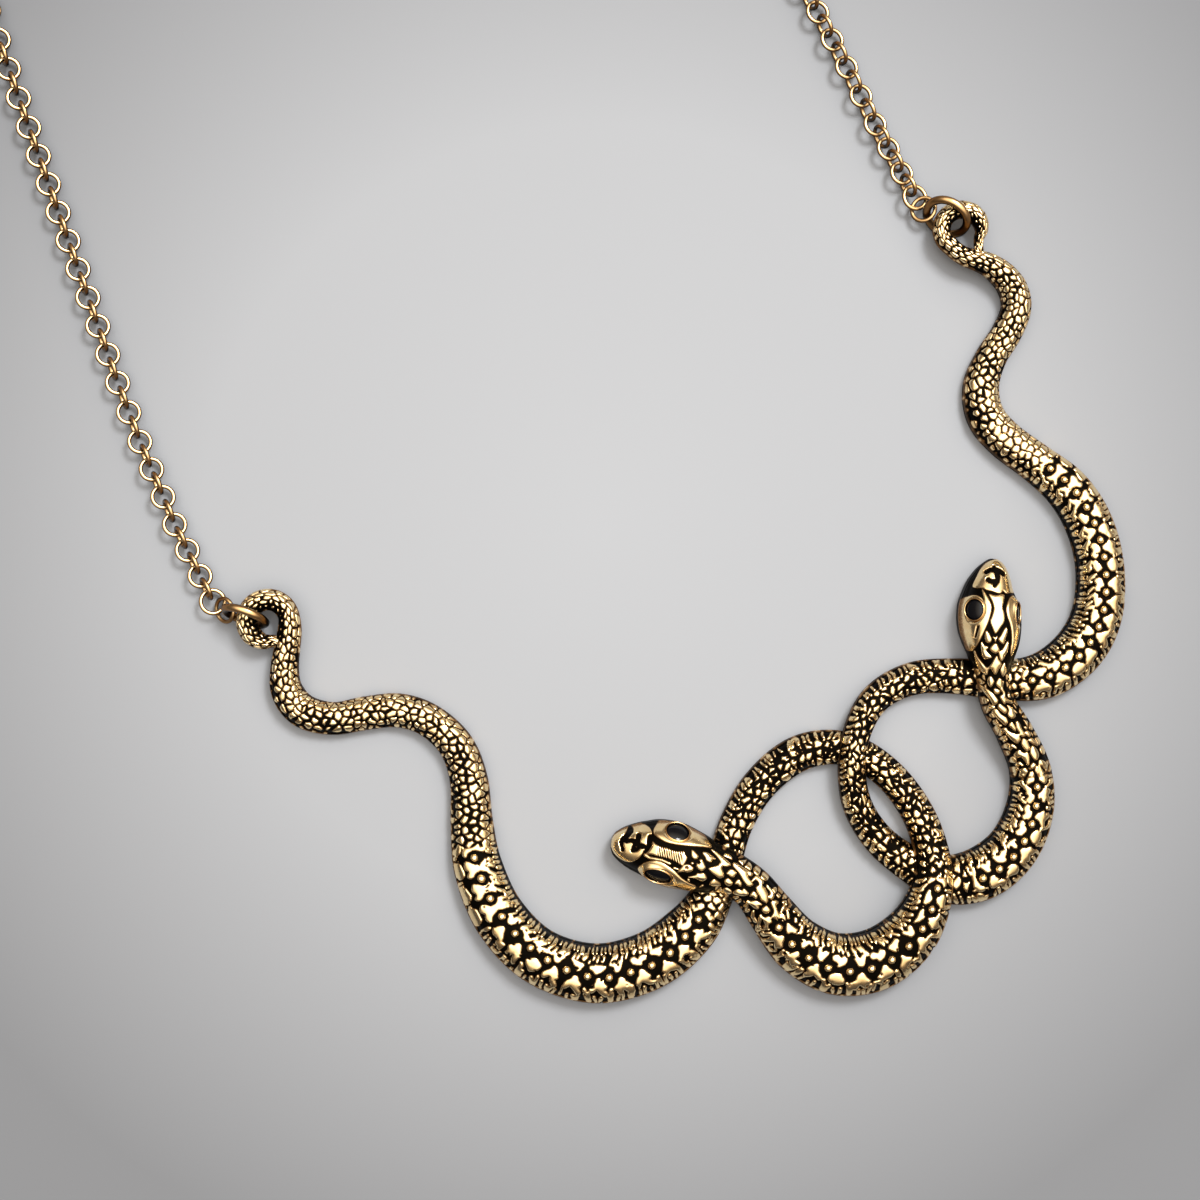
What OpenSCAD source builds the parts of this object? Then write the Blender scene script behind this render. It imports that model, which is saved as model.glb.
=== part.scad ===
// Snake necklace: two snakes cast as one, their bodies looped through each other,
// hung by their curled tails from a cable chain. It lies on its flat back, chain spread.

/* [Casting] */
// Share of a body's height that is upright side wall, with the dome above it
wall_share = 0.28; // [0.15:0.01:0.4]
// Roundness of the dome, 2 for an ellipse and more for a squarer back
dome_power = 2.3; // [2:0.1:3]
// Radius of the curl of the left tail, to the middle of the tail
left_curl_r = 2.65; // [2.5:0.05:2.8]
// Radius of the curl of the right tail, to the middle of the tail
right_curl_r = 2.5; // [2.4:0.05:2.7]
// Height of the tail curls above the surface that the necklace lies on
curl_lift = 1.7; // [1.5:0.1:1.9]
// Height of the round studs above the snake's back
stud_rise = 0.25; // [0.1:0.05:0.4]
// Diameter of a round stud
stud_d = 1.1; // [0.8:0.1:1.4]

/* [Eyes] */
// Diameter of the black eye stones
eye_d = 2.5; // [2:0.1:2.8]
// Clearance between a stone and its seat
eye_gap = 0.1; // [0.05:0.01:0.15]
// Height of a stone's top above the middle of its cheek plate
eye_show = 0.35; // [0.2:0.05:0.5]

/* [Jump rings] */
// Wire diameter of the two jump rings
ring_wire = 1.05; // [0.9:0.05:1.1]
// Outer diameter of the two jump rings
ring_od = 6.35; // [6.2:0.05:6.5]

/* [Chain] */
// Wire diameter of a chain link
link_wire = 0.52; // [0.45:0.01:0.56]
// Outer diameter of a chain link
link_od = 3.2; // [3.15:0.05:3.3]
// Outer diameter of each hook link and of the first flat link next to it
first_od = 3.5; // [3.4:0.05:3.6]
// Roll of the links that lie nearly flat; the others stand a quarter turn from them
flat_roll = 20; // [10:1:30]

/* [Clasp] */
// Outer diameter of the ring clasp
clasp_od = 6; // [5.8:0.1:7]
// Thickness of the clasp's tube
clasp_wire = 1; // [0.9:0.1:1.1]
// Tilt of the clasp from lying flat
clasp_tilt = 25; // [22:1:27]
// Play between the clasp and the last link on each side
clasp_play = 0.15; // [0.15:0.01:0.2]

/* [Hidden] */

gold = [0.79, 0.6, 0.3];
black = [0.04, 0.04, 0.05];

// The tables of the snakes are in millimetres across the pendant as it lies slanted, x to the
// right and y up. It is then turned about the point halfway between its tail curls until they
// are level. The tables of the rings and chains are in the level frame, with that same origin.
level_turn = -29.4;
curls_middle = [1.9, 22.0];
// Point of the level frame that is brought to the origin: the middle of the whole necklace
box_middle = [-1.45, 33.1];

// Body of the left snake, from the curl of its tail to the back of its head
// columns: x, y, width, underside, top
left_body = [
    [-38.85, -4.2, 3.05, 1.7, 3.9],
    [-39.5, -8.6, 3.5, 1.3, 3.7],
    [-39.2, -11.6, 4.0, 0.7, 3.4],
    [-37.2, -14.0, 4.2, 0.25, 3.15],
    [-33.5, -14.9, 4.1, 0, 3.0],
    [-29.3, -14.2, 4.2, 0, 3.0],
    [-25.2, -13.9, 4.25, 0, 3.0],
    [-21.4, -15.2, 4.2, 0, 3.0],
    [-18.1, -18.3, 4.4, 0, 3.1],
    [-16.5, -22.6, 4.75, 0, 3.3],
    [-16.1, -28.0, 5.3, 0, 3.6],
    [-15.3, -33.6, 6.1, 0, 3.9],
    [-12.6, -39.8, 6.6, 0, 4.2],
    [-7.6, -44.8, 6.95, 0, 4.4],
    [-0.6, -46.9, 7.3, 0, 4.5],
    [6.2, -45.3, 7.2, 0, 4.4],
    [11.3, -41.4, 6.6, 0, 4.0],
    [14.1, -37.2, 5.2, 0, 3.4],
    [15.5, -33.4, 4.4, 0, 3.0],
    [17.2, -28.0, 4.2, 0, 3.0],
    [20.2, -23.1, 4.35, 0, 3.0],
    [24.6, -19.5, 4.5, 0, 3.0],
    [29.4, -18.5, 4.3, 0, 2.9],
    [33.6, -19.9, 4.05, 0, 2.9],
    [37.4, -23.1, 4.0, 0, 3.2],
    [40.3, -27.6, 4.1, 0.4, 3.7],
    [41.6, -32.6, 4.5, 1.6, 4.8],
    [41.2, -37.0, 5.4, 1.9, 5.4],
    [38.9, -41.8, 6.8, 0.7, 5.1],
    [34.7, -45.1, 7.6, 0, 4.8],
    [29.6, -45.7, 7.6, 0, 4.7],
    [25.0, -43.4, 7.0, 0.2, 4.8],
    [21.6, -39.4, 6.0, 1.2, 5.3],
    [18.9, -35.9, 5.3, 1.9, 5.8]];

// Head of the left snake, from the neck to the tip of the snout
left_head = [
    [15.6, -33.8, 5.6, 1.9, 6.2],
    [13.4, -33.3, 6.6, 1.2, 6.5],
    [11.6, -32.7, 7.4, 0.5, 6.6],
    [9.4, -32.0, 8.1, 0.1, 6.5],
    [7.2, -31.4, 7.75, 0, 6.1],
    [5.5, -31.1, 6.7, 0, 5.5],
    [4.1, -30.9, 5.7, 0, 5.0],
    [2.8, -30.7, 4.4, 0.2, 4.5],
    [1.8, -30.55, 2.8, 0.6, 3.8],
    [1.4, -30.5, 1.3, 1.1, 3.1]];

// Body of the right snake, from the curl of its tail to the back of its head
right_body = [
    [45.5, 43.0, 2.35, 1.7, 3.9],
    [49.0, 41.8, 3.0, 1.2, 3.6],
    [51.5, 39.6, 3.55, 0.6, 3.3],
    [52.3, 36.8, 3.7, 0.2, 3.1],
    [51.2, 33.7, 3.75, 0, 2.9],
    [49.2, 30.5, 3.9, 0, 2.9],
    [47.9, 26.8, 4.45, 0, 3.1],
    [48.5, 23.1, 4.7, 0, 3.2],
    [51.0, 20.1, 4.75, 0, 3.3],
    [54.9, 17.2, 4.85, 0, 3.4],
    [58.7, 14.0, 5.45, 0, 3.6],
    [61.4, 9.7, 5.75, 0, 3.8],
    [62.8, 4.3, 5.85, 0, 3.9],
    [62.5, -1.6, 6.1, 0, 4.0],
    [60.2, -6.2, 6.25, 0, 4.0],
    [55.9, -9.4, 5.9, 0, 3.8],
    [50.5, -10.1, 5.0, 0, 3.2],
    [45.0, -9.6, 4.5, 0, 3.0],
    [39.7, -9.8, 4.15, 0, 3.0],
    [35.3, -11.8, 3.75, 0.4, 3.4],
    [32.7, -15.2, 3.5, 1.3, 4.2],
    [31.5, -20.0, 3.4, 1.7, 4.7],
    [32.2, -25.4, 3.65, 0.6, 3.8],
    [34.9, -29.9, 4.0, 0, 3.2],
    [38.9, -33.1, 4.6, 0, 3.1],
    [43.4, -35.1, 6.0, 0, 3.5],
    [48.0, -34.3, 6.6, 0, 4.1],
    [51.9, -31.1, 6.3, 0, 4.2],
    [54.0, -26.3, 5.8, 0, 4.0],
    [54.0, -21.3, 5.05, 0.2, 4.1],
    [51.9, -16.6, 4.55, 1.2, 4.8],
    [49.7, -12.9, 4.15, 1.8, 5.4]];

// Head of the right snake, from the neck to the tip of the snout
right_head = [
    [48.95, -9.6, 4.1, 2.0, 5.8],
    [48.9, -7.4, 5.4, 1.5, 6.2],
    [48.9, -5.2, 7.0, 0.7, 6.4],
    [48.8, -3.0, 7.75, 0.1, 6.4],
    [48.7, -0.8, 7.5, 0, 6.1],
    [48.8, 1.1, 6.2, 0, 5.4],
    [49.1, 2.8, 4.8, 0, 4.7],
    [49.3, 4.0, 3.4, 0.3, 4.1],
    [49.4, 4.8, 1.9, 0.8, 3.4],
    [49.45, 5.1, 0.9, 1.2, 2.9]];

// Middles of the two tail curls, and the angles between which each tail curls
left_curl_at = [-41.5, -2.6];
left_curl_turn = [-72, -352];
right_curl_at = [45.2, 46.3];
right_curl_turn = [-30, 238];
// Tips of the two tails, buried in the side of the body that each curls back to
left_tip = [-39.7, -5.7, 1.2, 1.9, 3.3];
right_tip = [47.4, 43.4, 1.2, 1.9, 3.2];
// Width of each tail at its tip and where it leaves the curl
left_curl_w = [1.4, 2.7];
right_curl_w = [1.2, 2.25];
// Height of a curl's metal, the share of it at the tip, and the share of the curl that grows
curl_h = 2.2;
tip_height = 0.7;
curl_tip_share = 0.25;
curl_steps = 9;

// Heads: direction of the snout, and the eyes
// columns: x, y, z, direction in plan that the eye faces, angle of its gaze from straight up
left_gaze = 164.5;
right_gaze = 88;
left_eyes = [[9.8, -29.2, 5.1, 76, 42], [7.3, -34.3, 5.2, -108, 40]];
right_eyes = [[46.75, -1.3, 5.25, 172, 34], [51.9, -1.5, 4.6, 0, 60]];
// Cheek plate round each eye, a flattened ball: half its length, breadth and depth, how far
// its middle lies behind the eye, and the height of its top above the eye's point
cheek_half = [3.3, 1.65, 1.3];
cheek_back = 1;
cheek_show = 0.2;
ball_sides = 16;

// Stretches of each back that carry studs
// columns: row of the body's table at the first stud, the same at the last one, number of studs
left_studs = [[10.25, 16.35, 16], [26.7, 32.9, 13]];
right_studs = [[9.3, 15.4, 16], [25.9, 28.6, 7]];
stud_sides = 7;
stud_root = 0.5;

// Jump rings: middle, direction in plan from the chain to the curl, lean from lying flat
left_ring_at = [-52, 1.76, 3.08];
left_ring_turn = -47.4;
left_ring_lean = 73.3;
right_ring_at = [48.74, 2.17, 2.75];
right_ring_turn = -61.1;
right_ring_lean = 56.2;
ring_r = (ring_od - ring_wire) / 2;

// Hook links between the jump rings and the chains: middle, then turn in plan, dip and roll
left_hook_at = [-54.04, 3.74, 1.8];
left_hook_turns = [197.7, 34.3, 197.7];
right_hook_at = [46.9, 4.53, 1.8];
right_hook_turns = [76, 12.6, 158.8];

// Places of the links along each chain, straight between rows, up to the hidden half circle
// columns: number of the link, x, y
left_places = [
    [1, -54.88, 5.43],
    [7, -54.3, 16.2],
    [13, -53.0, 27.4],
    [17, -51.8, 35.2],
    [29, -47.8, 57.5],
    [35, -45.8, 68.6],
    [54, -39.1, 105.0]];
right_places = [
    [1, 46.75, 6.37],
    [7, 46.9, 16.8],
    [11, 47.3, 24.8],
    [48, 49.5, 97.0]];
// Half circle behind the neck, out of view: middle, radius, and where each chain joins it
arc_at = [4.8, 97.0];
arc_r = 44.7;
left_arc_from = 169.6;
right_arc_from = 0;
left_arc_links = 30;
right_arc_links = 34;

link_r = (link_od - link_wire) / 2;
first_r = (first_od - link_wire) / 2;
clasp_r = (clasp_od - clasp_wire) / 2;
chain_z = link_r * cos(flat_roll) + link_wire / 2;
chain_end_z = link_r + link_wire / 2;
clasp_z = clasp_r * sin(clasp_tilt) + clasp_wire / 2;
clasp_reach = clasp_r + link_r - (clasp_wire + link_wire) / 2 - clasp_play;
clasp_angle = 2 * asin(clasp_reach / arc_r / 2);

// Sections per row of the tables, and the step in rows that a direction is measured over
ring_steps = 3;
look_ahead = 0.05;
// Easing of the underside's edges as a share of half the width, where it lies and on a curl.
// A body counts as curl where its underside is above the first height and its width below
// the first width, fully at the second ones.
ease_flat = 0.08;
ease_round = 0.45;
round_from = [0.9, 3.4];
round_full = [1.7, 3.0];
// Amount by which a later sweep is fuller, and how much its hidden first section is drawn in
overlap = 0.06;
drawn_in = 0.8;
dome_angles = [0, 20, 45, 74, 106, 135, 160, 180];

// Smooth curve through the rows of a table, at row number t, all columns alike
function spline(rows, t) =
    let (last = len(rows) - 1,
         i = min(max(floor(t), 0), last - 1),
         f = t - i,
         a = rows[max(i - 1, 0)],
         b = rows[i],
         c = rows[i + 1],
         d = rows[min(i + 2, last)])
    b + f * (c - a) / 2 + f * f * (2 * a - 5 * b + 4 * c - d) / 2
        + f * f * f * (3 * b - a - 3 * c + d) / 2;

function rising(value, low, high) = min(max((value - low) / (high - low), 0), 1);

// Rows of a tail's curl, from its tip to where the body leaves it
function curl_rows(at, r, turn, w) =
    [for (k = [0 : curl_steps])
        let (share = k / curl_steps,
             angle = turn[0] + (turn[1] - turn[0]) * share,
             grown = w[0] + (w[1] - w[0]) * rising(share, 0, curl_tip_share))
        [at.x + r * cos(angle), at.y + r * sin(angle), grown, curl_lift,
            curl_lift + curl_h * (tip_height + (1 - tip_height) * rising(share, 0, curl_tip_share))]];

// Row of the joined tables at which a body starts: one tip row and the curl come before it
body_row = curl_steps + 2;
// Rows of the two bodies at which the sweeps are parted
left_halfway = 22;
right_halfway = 21;

left_rows = concat([left_tip], curl_rows(left_curl_at, left_curl_r, left_curl_turn, left_curl_w),
    left_body, left_head);
right_rows = concat([right_tip],
    curl_rows(right_curl_at, right_curl_r, right_curl_turn, right_curl_w),
    right_body, right_head);

// Direction of travel at row number t, as an angle in plan
function heading(rows, t) =
    let (last = len(rows) - 1,
         a = spline(rows, max(t - look_ahead, 0)),
         b = spline(rows, min(t + look_ahead, last)))
    atan2(b.y - a.y, b.x - a.x);

// Section of a body: a flat underside with eased edges, side walls and a domed back
function section(w, low, top, lifted) =
    let (half = w / 2,
         side = low + (top - low) * wall_share,
         ease = half * (ease_flat + (ease_round - ease_flat) * lifted))
    concat(
        [for (a = dome_angles)
            [half * sign(cos(a)) * pow(abs(cos(a)), 2 / dome_power),
                side + (top - side) * pow(abs(sin(a)), 2 / dome_power)]],
        [[-half, low + ease], [ease - half, low], [half - ease, low], [half, low + ease]]);

// Corners of a body's section at row number t
function ring(rows, t, fuller, scale) =
    let (row = spline(rows, t),
         turn = heading(rows, t) - 90,
         low = max(row[3] - fuller, 0),
         lifted = rising(low, round_from[0], round_full[0])
             * (1 - rising(row[2], round_full[1], round_from[1])),
         centre = (low + row[4]) / 2)
    [for (p = section(row[2] + fuller, low, row[4] + fuller, lifted))
        [row.x + p.x * scale * cos(turn), row.y + p.x * scale * sin(turn),
            centre + (p.y - centre) * scale]];

// A stretch of body swept through the rows of its table, closed at both ends. A later stretch
// starts with a drawn in section that is hidden inside the stretch before it.
module sweep(rows, from, to, later) {
    sides = len(dome_angles) + 4;
    first_ring = later ? -1 : 0;
    count = ring_steps * (to - from) - first_ring;
    fuller = later ? overlap : 0;
    points = [for (i = [first_ring : ring_steps * (to - from)])
        each ring(rows, from + i / ring_steps, fuller, i < 0 ? drawn_in : 1)];
    skin = [for (i = [0 : count - 1], j = [0 : sides - 1])
        let (k = (j + 1) % sides)
        [i * sides + j, i * sides + k, (i + 1) * sides + k, (i + 1) * sides + j]];
    first = [for (j = [sides - 1 : -1 : 0]) j];
    last = [for (j = [0 : sides - 1]) count * sides + j];
    polyhedron(points, concat(skin, [first, last]), convexity = 10);
}

// A snake is swept in stretches that don't cross themselves
module snake(rows, halfway) {
    sweep(rows, 0, body_row, false);
    sweep(rows, body_row, body_row + halfway, true);
    sweep(rows, body_row + halfway, len(rows) - 1, true);
}

// Moves its children from the slanted tables to the level necklace
module level() {
    centred()
        rotate([0, 0, level_turn])
            translate([-curls_middle.x, -curls_middle.y, 0])
                children();
}

module centred() {
    translate([-box_middle.x, -box_middle.y, 0])
        children();
}

module stud(rows, t) {
    row = spline(rows, t);
    translate([row.x, row.y, row[4]])
        hull() {
            translate([0, 0, -stud_root])
                cylinder(h = stud_root, d = stud_d, $fn = stud_sides);
            cylinder(h = stud_rise, d = stud_d / 2, $fn = stud_sides);
        }
}

module studs(rows, stretches) {
    for (stretch = stretches)
        for (k = [0 : stretch[2] - 1])
            stud(rows, body_row + stretch[0] + (stretch[1] - stretch[0]) * k / (stretch[2] - 1));
}

// Places its children at an eye, z along its gaze and x toward the snout
module at_eye(eye, gaze) {
    translate([eye[0], eye[1], eye[2]])
        rotate([0, 0, eye[3]])
            rotate([0, eye[4], 0])
                rotate([0, 0, gaze - eye[3]])
                    children();
}

module cheek(eye, gaze) {
    at_eye(eye, gaze)
        translate([-cheek_back, 0, cheek_show - cheek_half.z])
            scale(cheek_half)
                sphere(1, $fn = ball_sides);
}

module eye_seat(eye, gaze) {
    at_eye(eye, gaze)
        translate([0, 0, eye_show - eye_d / 2])
            sphere(d = eye_d + 2 * eye_gap, $fn = ball_sides);
}

module eye_stone(eye, gaze) {
    color(black)
        level()
            at_eye(eye, gaze)
                translate([0, 0, eye_show - eye_d / 2])
                    sphere(d = eye_d, $fn = 48);
}

module torus(r, wire) {
    rotate_extrude($fn = 72)
        translate([r, 0])
            circle(d = wire, $fn = 24);
}

module jump_ring(at, turn, lean) {
    color(gold)
        centred()
            translate(at)
                rotate([0, 0, turn])
                    rotate([lean, 0, 0])
                        torus(ring_r, ring_wire);
}

// Middles of a chain's links: those of its table, then those round the hidden half circle
function link_middles(places, arc_from, arc_to, arc_links) =
    let (seen = places[len(places) - 1][0],
         xs = [for (row = places) [row[0], row[1]]],
         ys = [for (row = places) [row[0], row[2]]])
    concat(
        [for (n = [1 : seen]) [lookup(n, xs), lookup(n, ys)]],
        [for (k = [1 : arc_links])
            let (angle = arc_from + (arc_to - arc_from) * k / arc_links)
            arc_at + arc_r * [cos(angle), sin(angle)]]);

// The links of one chain, each a quarter turn from the last. The end one stands upright in
// the clasp.
module chain(middles) {
    last = len(middles) - 1;
    for (i = [0 : last]) {
        way = middles[min(i + 1, last)] - middles[max(i - 1, 0)];
        translate([middles[i].x, middles[i].y, i == last ? chain_end_z : chain_z])
            rotate([0, 0, atan2(way.y, way.x)])
                rotate([i == last ? 90 : flat_roll + 90 * i, 0, 0])
                    torus(i == 0 ? first_r : link_r, link_wire);
    }
}

module hook_link(at, turns) {
    translate(at)
        rotate([0, 0, turns[0]])
            rotate([0, turns[1], 0])
                rotate([turns[2], 0, 0])
                    torus(first_r, link_wire);
}

module snake_casting() {
    color(gold)
        level()
            difference() {
                union() {
                    snake(left_rows, left_halfway);
                    snake(right_rows, right_halfway);
                    studs(left_rows, left_studs);
                    studs(right_rows, right_studs);
                    for (eye = left_eyes)
                        cheek(eye, left_gaze);
                    for (eye = right_eyes)
                        cheek(eye, right_gaze);
                }
                for (eye = left_eyes)
                    eye_seat(eye, left_gaze);
                for (eye = right_eyes)
                    eye_seat(eye, right_gaze);
            }
}

module left_snake_upper_eye() {
    eye_stone(left_eyes[0], left_gaze);
}

module left_snake_lower_eye() {
    eye_stone(left_eyes[1], left_gaze);
}

module right_snake_inner_eye() {
    eye_stone(right_eyes[0], right_gaze);
}

module right_snake_outer_eye() {
    eye_stone(right_eyes[1], right_gaze);
}

module left_jump_ring() {
    jump_ring(left_ring_at, left_ring_turn, left_ring_lean);
}

module right_jump_ring() {
    jump_ring(right_ring_at, right_ring_turn, right_ring_lean);
}

module left_chain() {
    color(gold)
        centred() {
            hook_link(left_hook_at, left_hook_turns);
            chain(link_middles(left_places, left_arc_from, 90 + clasp_angle, left_arc_links));
        }
}

module right_chain() {
    color(gold)
        centred() {
            hook_link(right_hook_at, right_hook_turns);
            chain(link_middles(right_places, right_arc_from, 90 - clasp_angle, right_arc_links));
        }
}

module clasp() {
    color(gold)
        centred()
            translate([arc_at.x, arc_at.y + arc_r, clasp_z])
                rotate([clasp_tilt, 0, 0])
                    torus(clasp_r, clasp_wire);
}

snake_casting();
left_snake_upper_eye();
left_snake_lower_eye();
right_snake_inner_eye();
right_snake_outer_eye();
left_jump_ring();
right_jump_ring();
left_chain();
right_chain();
clasp();
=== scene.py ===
"""Snake necklace, dressed: the cast snakes get their carved skins, heads, patina and painted shade,
the rings, chains, clasp and stones get their finishes, and the floor a painted pool of light. Run
as a script in Blender."""
import math

import bpy
import numpy as np
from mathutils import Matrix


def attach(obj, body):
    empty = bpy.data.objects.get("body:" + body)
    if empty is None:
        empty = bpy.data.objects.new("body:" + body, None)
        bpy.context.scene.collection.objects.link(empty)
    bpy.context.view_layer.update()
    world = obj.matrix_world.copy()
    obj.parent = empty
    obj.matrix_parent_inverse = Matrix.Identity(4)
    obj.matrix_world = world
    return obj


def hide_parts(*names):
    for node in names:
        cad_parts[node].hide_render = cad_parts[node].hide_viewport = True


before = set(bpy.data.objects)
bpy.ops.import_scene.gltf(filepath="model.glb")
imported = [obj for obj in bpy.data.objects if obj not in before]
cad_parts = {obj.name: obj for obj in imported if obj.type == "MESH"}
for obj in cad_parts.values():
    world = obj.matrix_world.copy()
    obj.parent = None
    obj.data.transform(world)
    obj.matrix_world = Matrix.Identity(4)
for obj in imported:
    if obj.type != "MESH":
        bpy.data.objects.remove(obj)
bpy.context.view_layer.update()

bl_info = {
    "name": "Snake Necklace",
    "version": (1, 0, 0),
    "blender": (4, 5, 0),
    "location": "View3D > Sidebar > Necklace",
    "description": "Builds the carved skins, heads, finishes and stage of a cast snake necklace",
    "category": "Add Mesh",
}

MM = 0.001

# Shape of the snakes
# Lengths are millimetres in the slanted layout of the pendant, x right and y up, as the
# solids' own tables are. placed() turns them level and brings them to the necklace's frame.
LEVEL_TURN = math.radians(-29.4)
CURLS_MIDDLE = np.array([1.9, 22.0])
BOX_MIDDLE = np.array([-1.45, 33.1])

# columns: x, y, width, underside, top
LEFT_BODY = [
    [-38.85, -4.2, 3.05, 1.7, 3.9],
    [-39.5, -8.6, 3.5, 1.3, 3.7],
    [-39.2, -11.6, 4.0, 0.7, 3.4],
    [-37.2, -14.0, 4.2, 0.25, 3.15],
    [-33.5, -14.9, 4.1, 0, 3.0],
    [-29.3, -14.2, 4.2, 0, 3.0],
    [-25.2, -13.9, 4.25, 0, 3.0],
    [-21.4, -15.2, 4.2, 0, 3.0],
    [-18.1, -18.3, 4.4, 0, 3.1],
    [-16.5, -22.6, 4.75, 0, 3.3],
    [-16.1, -28.0, 5.3, 0, 3.6],
    [-15.3, -33.6, 6.1, 0, 3.9],
    [-12.6, -39.8, 6.6, 0, 4.2],
    [-7.6, -44.8, 6.95, 0, 4.4],
    [-0.6, -46.9, 7.3, 0, 4.5],
    [6.2, -45.3, 7.2, 0, 4.4],
    [11.3, -41.4, 6.6, 0, 4.0],
    [14.1, -37.2, 5.2, 0, 3.4],
    [15.5, -33.4, 4.4, 0, 3.0],
    [17.2, -28.0, 4.2, 0, 3.0],
    [20.2, -23.1, 4.35, 0, 3.0],
    [24.6, -19.5, 4.5, 0, 3.0],
    [29.4, -18.5, 4.3, 0, 2.9],
    [33.6, -19.9, 4.05, 0, 2.9],
    [37.4, -23.1, 4.0, 0, 3.2],
    [40.3, -27.6, 4.1, 0.4, 3.7],
    [41.6, -32.6, 4.5, 1.6, 4.8],
    [41.2, -37.0, 5.4, 1.9, 5.4],
    [38.9, -41.8, 6.8, 0.7, 5.1],
    [34.7, -45.1, 7.6, 0, 4.8],
    [29.6, -45.7, 7.6, 0, 4.7],
    [25.0, -43.4, 7.0, 0.2, 4.8],
    [21.6, -39.4, 6.0, 1.2, 5.3],
    [18.9, -35.9, 5.3, 1.9, 5.8]]
LEFT_HEAD = [
    [15.6, -33.8, 5.6, 1.9, 6.2],
    [13.4, -33.3, 6.6, 1.2, 6.5],
    [11.6, -32.7, 7.4, 0.5, 6.6],
    [9.4, -32.0, 8.1, 0.1, 6.5],
    [7.2, -31.4, 7.75, 0, 6.1],
    [5.5, -31.1, 6.7, 0, 5.5],
    [4.1, -30.9, 5.7, 0, 5.0],
    [2.8, -30.7, 4.4, 0.2, 4.5],
    [1.8, -30.55, 2.8, 0.6, 3.8],
    [1.4, -30.5, 1.3, 1.1, 3.1]]
RIGHT_BODY = [
    [45.5, 43.0, 2.35, 1.7, 3.9],
    [49.0, 41.8, 3.0, 1.2, 3.6],
    [51.5, 39.6, 3.55, 0.6, 3.3],
    [52.3, 36.8, 3.7, 0.2, 3.1],
    [51.2, 33.7, 3.75, 0, 2.9],
    [49.2, 30.5, 3.9, 0, 2.9],
    [47.9, 26.8, 4.45, 0, 3.1],
    [48.5, 23.1, 4.7, 0, 3.2],
    [51.0, 20.1, 4.75, 0, 3.3],
    [54.9, 17.2, 4.85, 0, 3.4],
    [58.7, 14.0, 5.45, 0, 3.6],
    [61.4, 9.7, 5.75, 0, 3.8],
    [62.8, 4.3, 5.85, 0, 3.9],
    [62.5, -1.6, 6.1, 0, 4.0],
    [60.2, -6.2, 6.25, 0, 4.0],
    [55.9, -9.4, 5.9, 0, 3.8],
    [50.5, -10.1, 5.0, 0, 3.2],
    [45.0, -9.6, 4.5, 0, 3.0],
    [39.7, -9.8, 4.15, 0, 3.0],
    [35.3, -11.8, 3.75, 0.4, 3.4],
    [32.7, -15.2, 3.5, 1.3, 4.2],
    [31.5, -20.0, 3.4, 1.7, 4.7],
    [32.2, -25.4, 3.65, 0.6, 3.8],
    [34.9, -29.9, 4.0, 0, 3.2],
    [38.9, -33.1, 4.6, 0, 3.1],
    [43.4, -35.1, 6.0, 0, 3.5],
    [48.0, -34.3, 6.6, 0, 4.1],
    [51.9, -31.1, 6.3, 0, 4.2],
    [54.0, -26.3, 5.8, 0, 4.0],
    [54.0, -21.3, 5.05, 0.2, 4.1],
    [51.9, -16.6, 4.55, 1.2, 4.8],
    [49.7, -12.9, 4.15, 1.8, 5.4]]
RIGHT_HEAD = [
    [48.95, -9.6, 4.1, 2.0, 5.8],
    [48.9, -7.4, 5.4, 1.5, 6.2],
    [48.9, -5.2, 7.0, 0.7, 6.4],
    [48.8, -3.0, 7.75, 0.1, 6.4],
    [48.7, -0.8, 7.5, 0, 6.1],
    [48.8, 1.1, 6.2, 0, 5.4],
    [49.1, 2.8, 4.8, 0, 4.7],
    [49.3, 4.0, 3.4, 0.3, 4.1],
    [49.4, 4.8, 1.9, 0.8, 3.4],
    [49.45, 5.1, 0.9, 1.2, 2.9]]

# Curls: middle, radius, turn in degrees from the tip, width at the tip and at the body
LEFT_CURL = dict(at=(-41.5, -2.6), r=2.65, turn=(-72, -352), width=(1.4, 2.7))
RIGHT_CURL = dict(at=(45.2, 46.3), r=2.5, turn=(-30, 238), width=(1.2, 2.25))
LEFT_TIP = [-39.7, -5.7, 1.2, 1.9, 3.3]
RIGHT_TIP = [47.4, 43.4, 1.2, 1.9, 3.2]
CURL_LIFT, CURL_HEIGHT, TIP_HEIGHT, CURL_TIP_SHARE, CURL_STEPS = 1.7, 2.2, 0.7, 0.25, 9
BODY_ROW = CURL_STEPS + 2

# Section of a body: share of its height that is side wall, the dome's power, and the ease of
# its lower edges as shares of half its width, lying flat and in a curl. It counts as a curl
# where its underside is above the first number and its width below the second: from where that
# begins, and where it is full.
WALL_SHARE = 0.28
DOME_POWER = 2.3
EASE_FLAT, EASE_ROUND = 0.08, 0.45
ROUND_FROM = (0.9, 3.4)
ROUND_FULL = (1.7, 3.0)

# Eyes, columns: x, y, z, direction in plan that the eye faces, its gaze from straight up
LEFT_GAZE, RIGHT_GAZE = 164.5, 88
LEFT_EYES = [[9.8, -29.2, 5.1, 76, 42], [7.3, -34.3, 5.2, -108, 40]]
RIGHT_EYES = [[46.75, -1.3, 5.25, 172, 34], [51.9, -1.5, 4.6, 0, 60]]
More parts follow.
